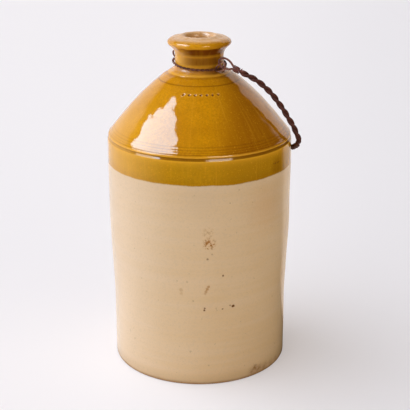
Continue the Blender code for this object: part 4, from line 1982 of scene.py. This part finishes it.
@dataclass
class Studio:
    """Pale floor, dark ceiling, soft lamps and the camera.

    Angles round the flagon are radians from the front, positive towards +X. An edge of the room
    or the sheet is a direction and the measures along it at which the paper ends and begins.
    """

    paper: Colour = (0.91, 0.840, 0.765)
    paper_roughness: float = 0.9
    paper_seen: Colour = (0.97, 0.905, 0.895)
    paper_seen_share: float = 0.45
    paper_falloff: float = 0.18
    paper_falloff_span: Pair = (-0.02, 0.21)
    fan_distance: float = 0.979
    dark_left: Pair = (-0.5, -1.75)
    dark_right: Pair = (2.00, 2.24)
    right_span: Pair = (0.0, 0.5)
    backdrop: Colour = (0.90, 0.87, 0.91)
    sheet: Colour = (1.0, 0.92, 0.89)
    right_paper: Colour = (0.89, 0.77, 0.69)
    ceiling: Colour = (0.012, 0.011, 0.011)
    ambient: Colour = (0.10, 0.10, 0.10)
    wall_edges: tuple[Edge, ...] = (
        ((0.07, -0.50, 1.0), 0.30, 0.13),
        ((1.0, 0.0, 0.0), 0.10, 0.0),
    )
    sheet_edges: tuple[Edge, ...] = (
        ((0.81, -1.0, 0.0), 0.12, -0.10),
        ((0.81, -1.0, -1.2), -0.31, -0.35),
        ((0.16, -0.20, 1.0), 0.575, 0.515),
        ((1.0, 0.0, 0.0), -0.10, 0.0),
    )
    floor_reach: float = 14.0
    lamp_target: Point = (0.0, 0.0, 0.25)
    cool: Colour = (0.91, 1.01, 1.24)
    warm: Colour = (1.05, 1.0, 0.88)
    card: Colour = (1.0, 0.90, 0.76)
    card_radiance: float = 7.0
    camera_place: Point = (0.00516, -0.97870, 0.49912)
    camera_dip: float = 0.3437
    camera_lens: float = 95.01
    camera_sensor: float = 36.0

    def build(self) -> None:
        """Make the world, the floor, the lamps and the camera."""
        self.build_world()
        self.build_floor()
        self.build_lamps()
        self.build_camera()

    def build_lamps(self) -> None:
        """Hang the window on the left in three parts, a card on each side and the sky lamps."""
        cards = {"radiance": self.card_radiance, "tint": self.card}
        softboxes = (
            Softbox("left_softbox", 1.04, 0.94, shift=(0.16, -0.02)),
            Softbox("left_wing", 0.12, 0.62, shift=(-0.42, -0.18)),
            Softbox("left_tip", 0.16, 0.43, shift=(-0.56, -0.275)),
            Softbox("left_card", 0.75, 0.42, azimuth=-70.0, elevation=20.5, **cards),
            Softbox("right_softbox", 0.78, 0.42, azimuth=26.7, elevation=28.0, **cards),
        )
        sky_lamps = (
            SkyLamp("left_light", -76.0, 40.0, level=0.80, spread=90.0, tint=self.cool),
            SkyLamp("back_light", -120.0, 45.0, level=0.44, spread=80.0, tint=self.cool),
            SkyLamp("right_fill", 48.0, 5.0, level=0.38, spread=60.0, tint=self.warm),
        )
        for softbox in softboxes:
            softbox.build(self.lamp_target)
        for sky_lamp in sky_lamps:
            sky_lamp.build()

    def build_world(self) -> None:
        """Even light for the object; gloss and the camera see a pale room under a dark ceiling.

        On the left the room is pale up to a slanting line; on the right only the paper sheet
        behind the flagon is, with a straight edge.
        """
        world = bpy.data.worlds.new("studio")
        bpy.context.scene.world = world
        world.use_nodes = True
        graph = Graph(world.node_tree, "Generated")
        seen = graph.mix(self.inside(graph, self.wall_edges), self.ceiling, self.backdrop)
        seen = graph.mix(self.inside(graph, self.sheet_edges), seen, self.sheet)
        ray = graph.node("LightPath")
        sharp = ray.outputs["Is Camera Ray"]
        for kind in ("Is Glossy Ray", "Is Transmission Ray"):
            sharp = graph.math("MAXIMUM", sharp, ray.outputs[kind])
        made = graph.mix(sharp, self.ambient, seen)
        graph.feed_all(graph.tree.nodes["Background"], Color=made)

    def inside(self, graph: Graph, edges: tuple[Edge, ...]) -> Socket:
        """Share of paper in the view's direction, 1 inside all edges and 0 outside any.

        Args:
            graph: the world's nodes.
            edges: the edges, each softened between its two measures.

        Returns:
            The share's socket.
        """
        shares = []
        for along, none, full in edges:
            measure = graph.vector("DOT_PRODUCT", graph.place, along).outputs["Value"]
            shares.append(graph.ramp(measure, none, full))
        product = shares[0]
        for share in shares[1:]:
            product = graph.share(product, share)
        return product

    def paper_material(self) -> Material:
        """Pale paper that keeps shadows, its glow painted a little dimmer to the right as painted
        shade.

        The camera sees it partly as a plain pale tone; gloss sees it pale on the left and at
        the back and dark in front, where the studio is unlit.

        Returns:
            The material.
        """
        graph = Finish("pale_paper")
        graph.feed_all(
            graph.shader,
            Base_Color=self.paper,
            Roughness=self.paper_roughness,
            Specular_IOR_Level=0.0,
        )
        # Painted shade: the glow that the camera sees dims towards the right.
        depth = graph.math("ADD", graph.axis("Y"), self.fan_distance)
        fan = graph.math("DIVIDE", graph.axis("X"), depth)
        dim = graph.ramp(fan, *self.paper_falloff_span)
        strength = graph.between(dim, 1.0, 1.0 - self.paper_falloff)
        seen = graph.node("Emission", Color=self.paper_seen, Strength=strength)
        turn = graph.turn()
        left = graph.ramp(turn, *self.dark_left)
        lit = graph.math("MAXIMUM", left, graph.ramp(turn, *self.dark_right))
        tone = graph.mix(graph.ramp(turn, *self.right_span), self.backdrop, self.right_paper)
        glossed = graph.node("Emission", Color=tone, Strength=lit)
        ray = graph.node("LightPath")
        plain = graph.share(ray.outputs["Is Camera Ray"], self.paper_seen_share)
        made = graph.shader
        for share, layer in ((plain, seen), (ray.outputs["Is Glossy Ray"], glossed)):
            mixed = graph.node("MixShader", Fac=share)
            graph.feed(mixed.inputs[1], made.outputs[0])
            graph.feed(mixed.inputs[2], layer.outputs[0])
            made = mixed
        graph.feed_all(graph.tree.nodes["Material Output"], Surface=made.outputs[0])
        return graph.material

    def build_floor(self) -> None:
        """Wide pale floor that the flagon stands on."""
        reach = self.floor_reach
        sides = ((-reach, -reach), (reach, -reach), (reach, reach), (-reach, reach))
        corners = [(x, y, 0.0) for x, y in sides]
        mesh = bpy.data.meshes.new("floor")
        mesh.from_pydata(corners, [], [(0, 1, 2, 3)])
        mesh.materials.append(self.paper_material())
        floor = bpy.data.objects.new("floor", mesh)
        bpy.context.scene.collection.objects.link(floor)

    def build_camera(self) -> None:
        """Camera in front of the flagon, looking along +Y and down."""
        data = bpy.data.cameras.new("camera")
        data.lens = self.camera_lens
        data.sensor_width = self.camera_sensor
        camera = bpy.data.objects.new("camera", data)
        camera.location = self.camera_place
        camera.rotation_euler = (math.pi / 2 - self.camera_dip, 0.0, 0.0)
        bpy.context.scene.collection.objects.link(camera)
        bpy.context.scene.camera = camera
        bpy.context.scene.view_settings.view_transform = "Standard"


def main() -> None:
    """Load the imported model, dress it and set up the studio."""
    logging.basicConfig(level=logging.INFO, format="%(name)s: %(message)s")
    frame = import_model()
    log.info("packed model: %s", frame)
    shoulder = OchreGlaze(
        "honey_ochre_glaze",
        gold=(0.70, 0.285, 0.003),
        brown=(0.46, 0.165, 0.002),
        olive=(0.57, 0.245, 0.004),
    )
    band = OchreGlaze(
        "olive_ochre_glaze",
        gold=(0.555, 0.255, 0.005),
        brown=(0.42, 0.187, 0.004),
        olive=(0.47, 0.235, 0.006),
        shade_side=(0.43, 0.194, 0.004),
        lit_rim_share=0.10,
    )
    collar_wire = AgedWire("collar_iron", dark=(0.085, 0.021, 0.004), rubbed=(0.27, 0.085, 0.026))
    # The eye wires are paler than the collar: a painted highlight.
    eye_wire = AgedWire(
        "eye_iron_painted_highlight", dark=(0.23, 0.078, 0.040), rubbed=(0.54, 0.25, 0.15), rubbed_share=0.7
    )
    # The bail's lighter spot near the front loop is a painted highlight.
    bail_wire = AgedWire(
        "bail_iron",
        dark=(0.074, 0.018, 0.009),
        rubbed=(0.22, 0.064, 0.036),
        rubbed_share=0.35,
        glint_centre=(0.0291, -0.0226, 0.2885),
    )
    # The binding wires are paler than the strands: a painted highlight.
    binding_wire = AgedWire(
        "binding_iron_painted_highlight", dark=(0.19, 0.058, 0.040), rubbed=(0.46, 0.19, 0.14)
    )
    wires = [wire.material() for wire in (collar_wire, eye_wire, bail_wire, binding_wire)]
    Flagon().build(DippedStoneware(band).material(), shoulder.material())
    pivot = Pivot()
    Collar(pivot).build(*wires[:2])
    Bail(pivot).build(*wires[2:])
    Studio().build()


if __name__ == "__main__":
    main()
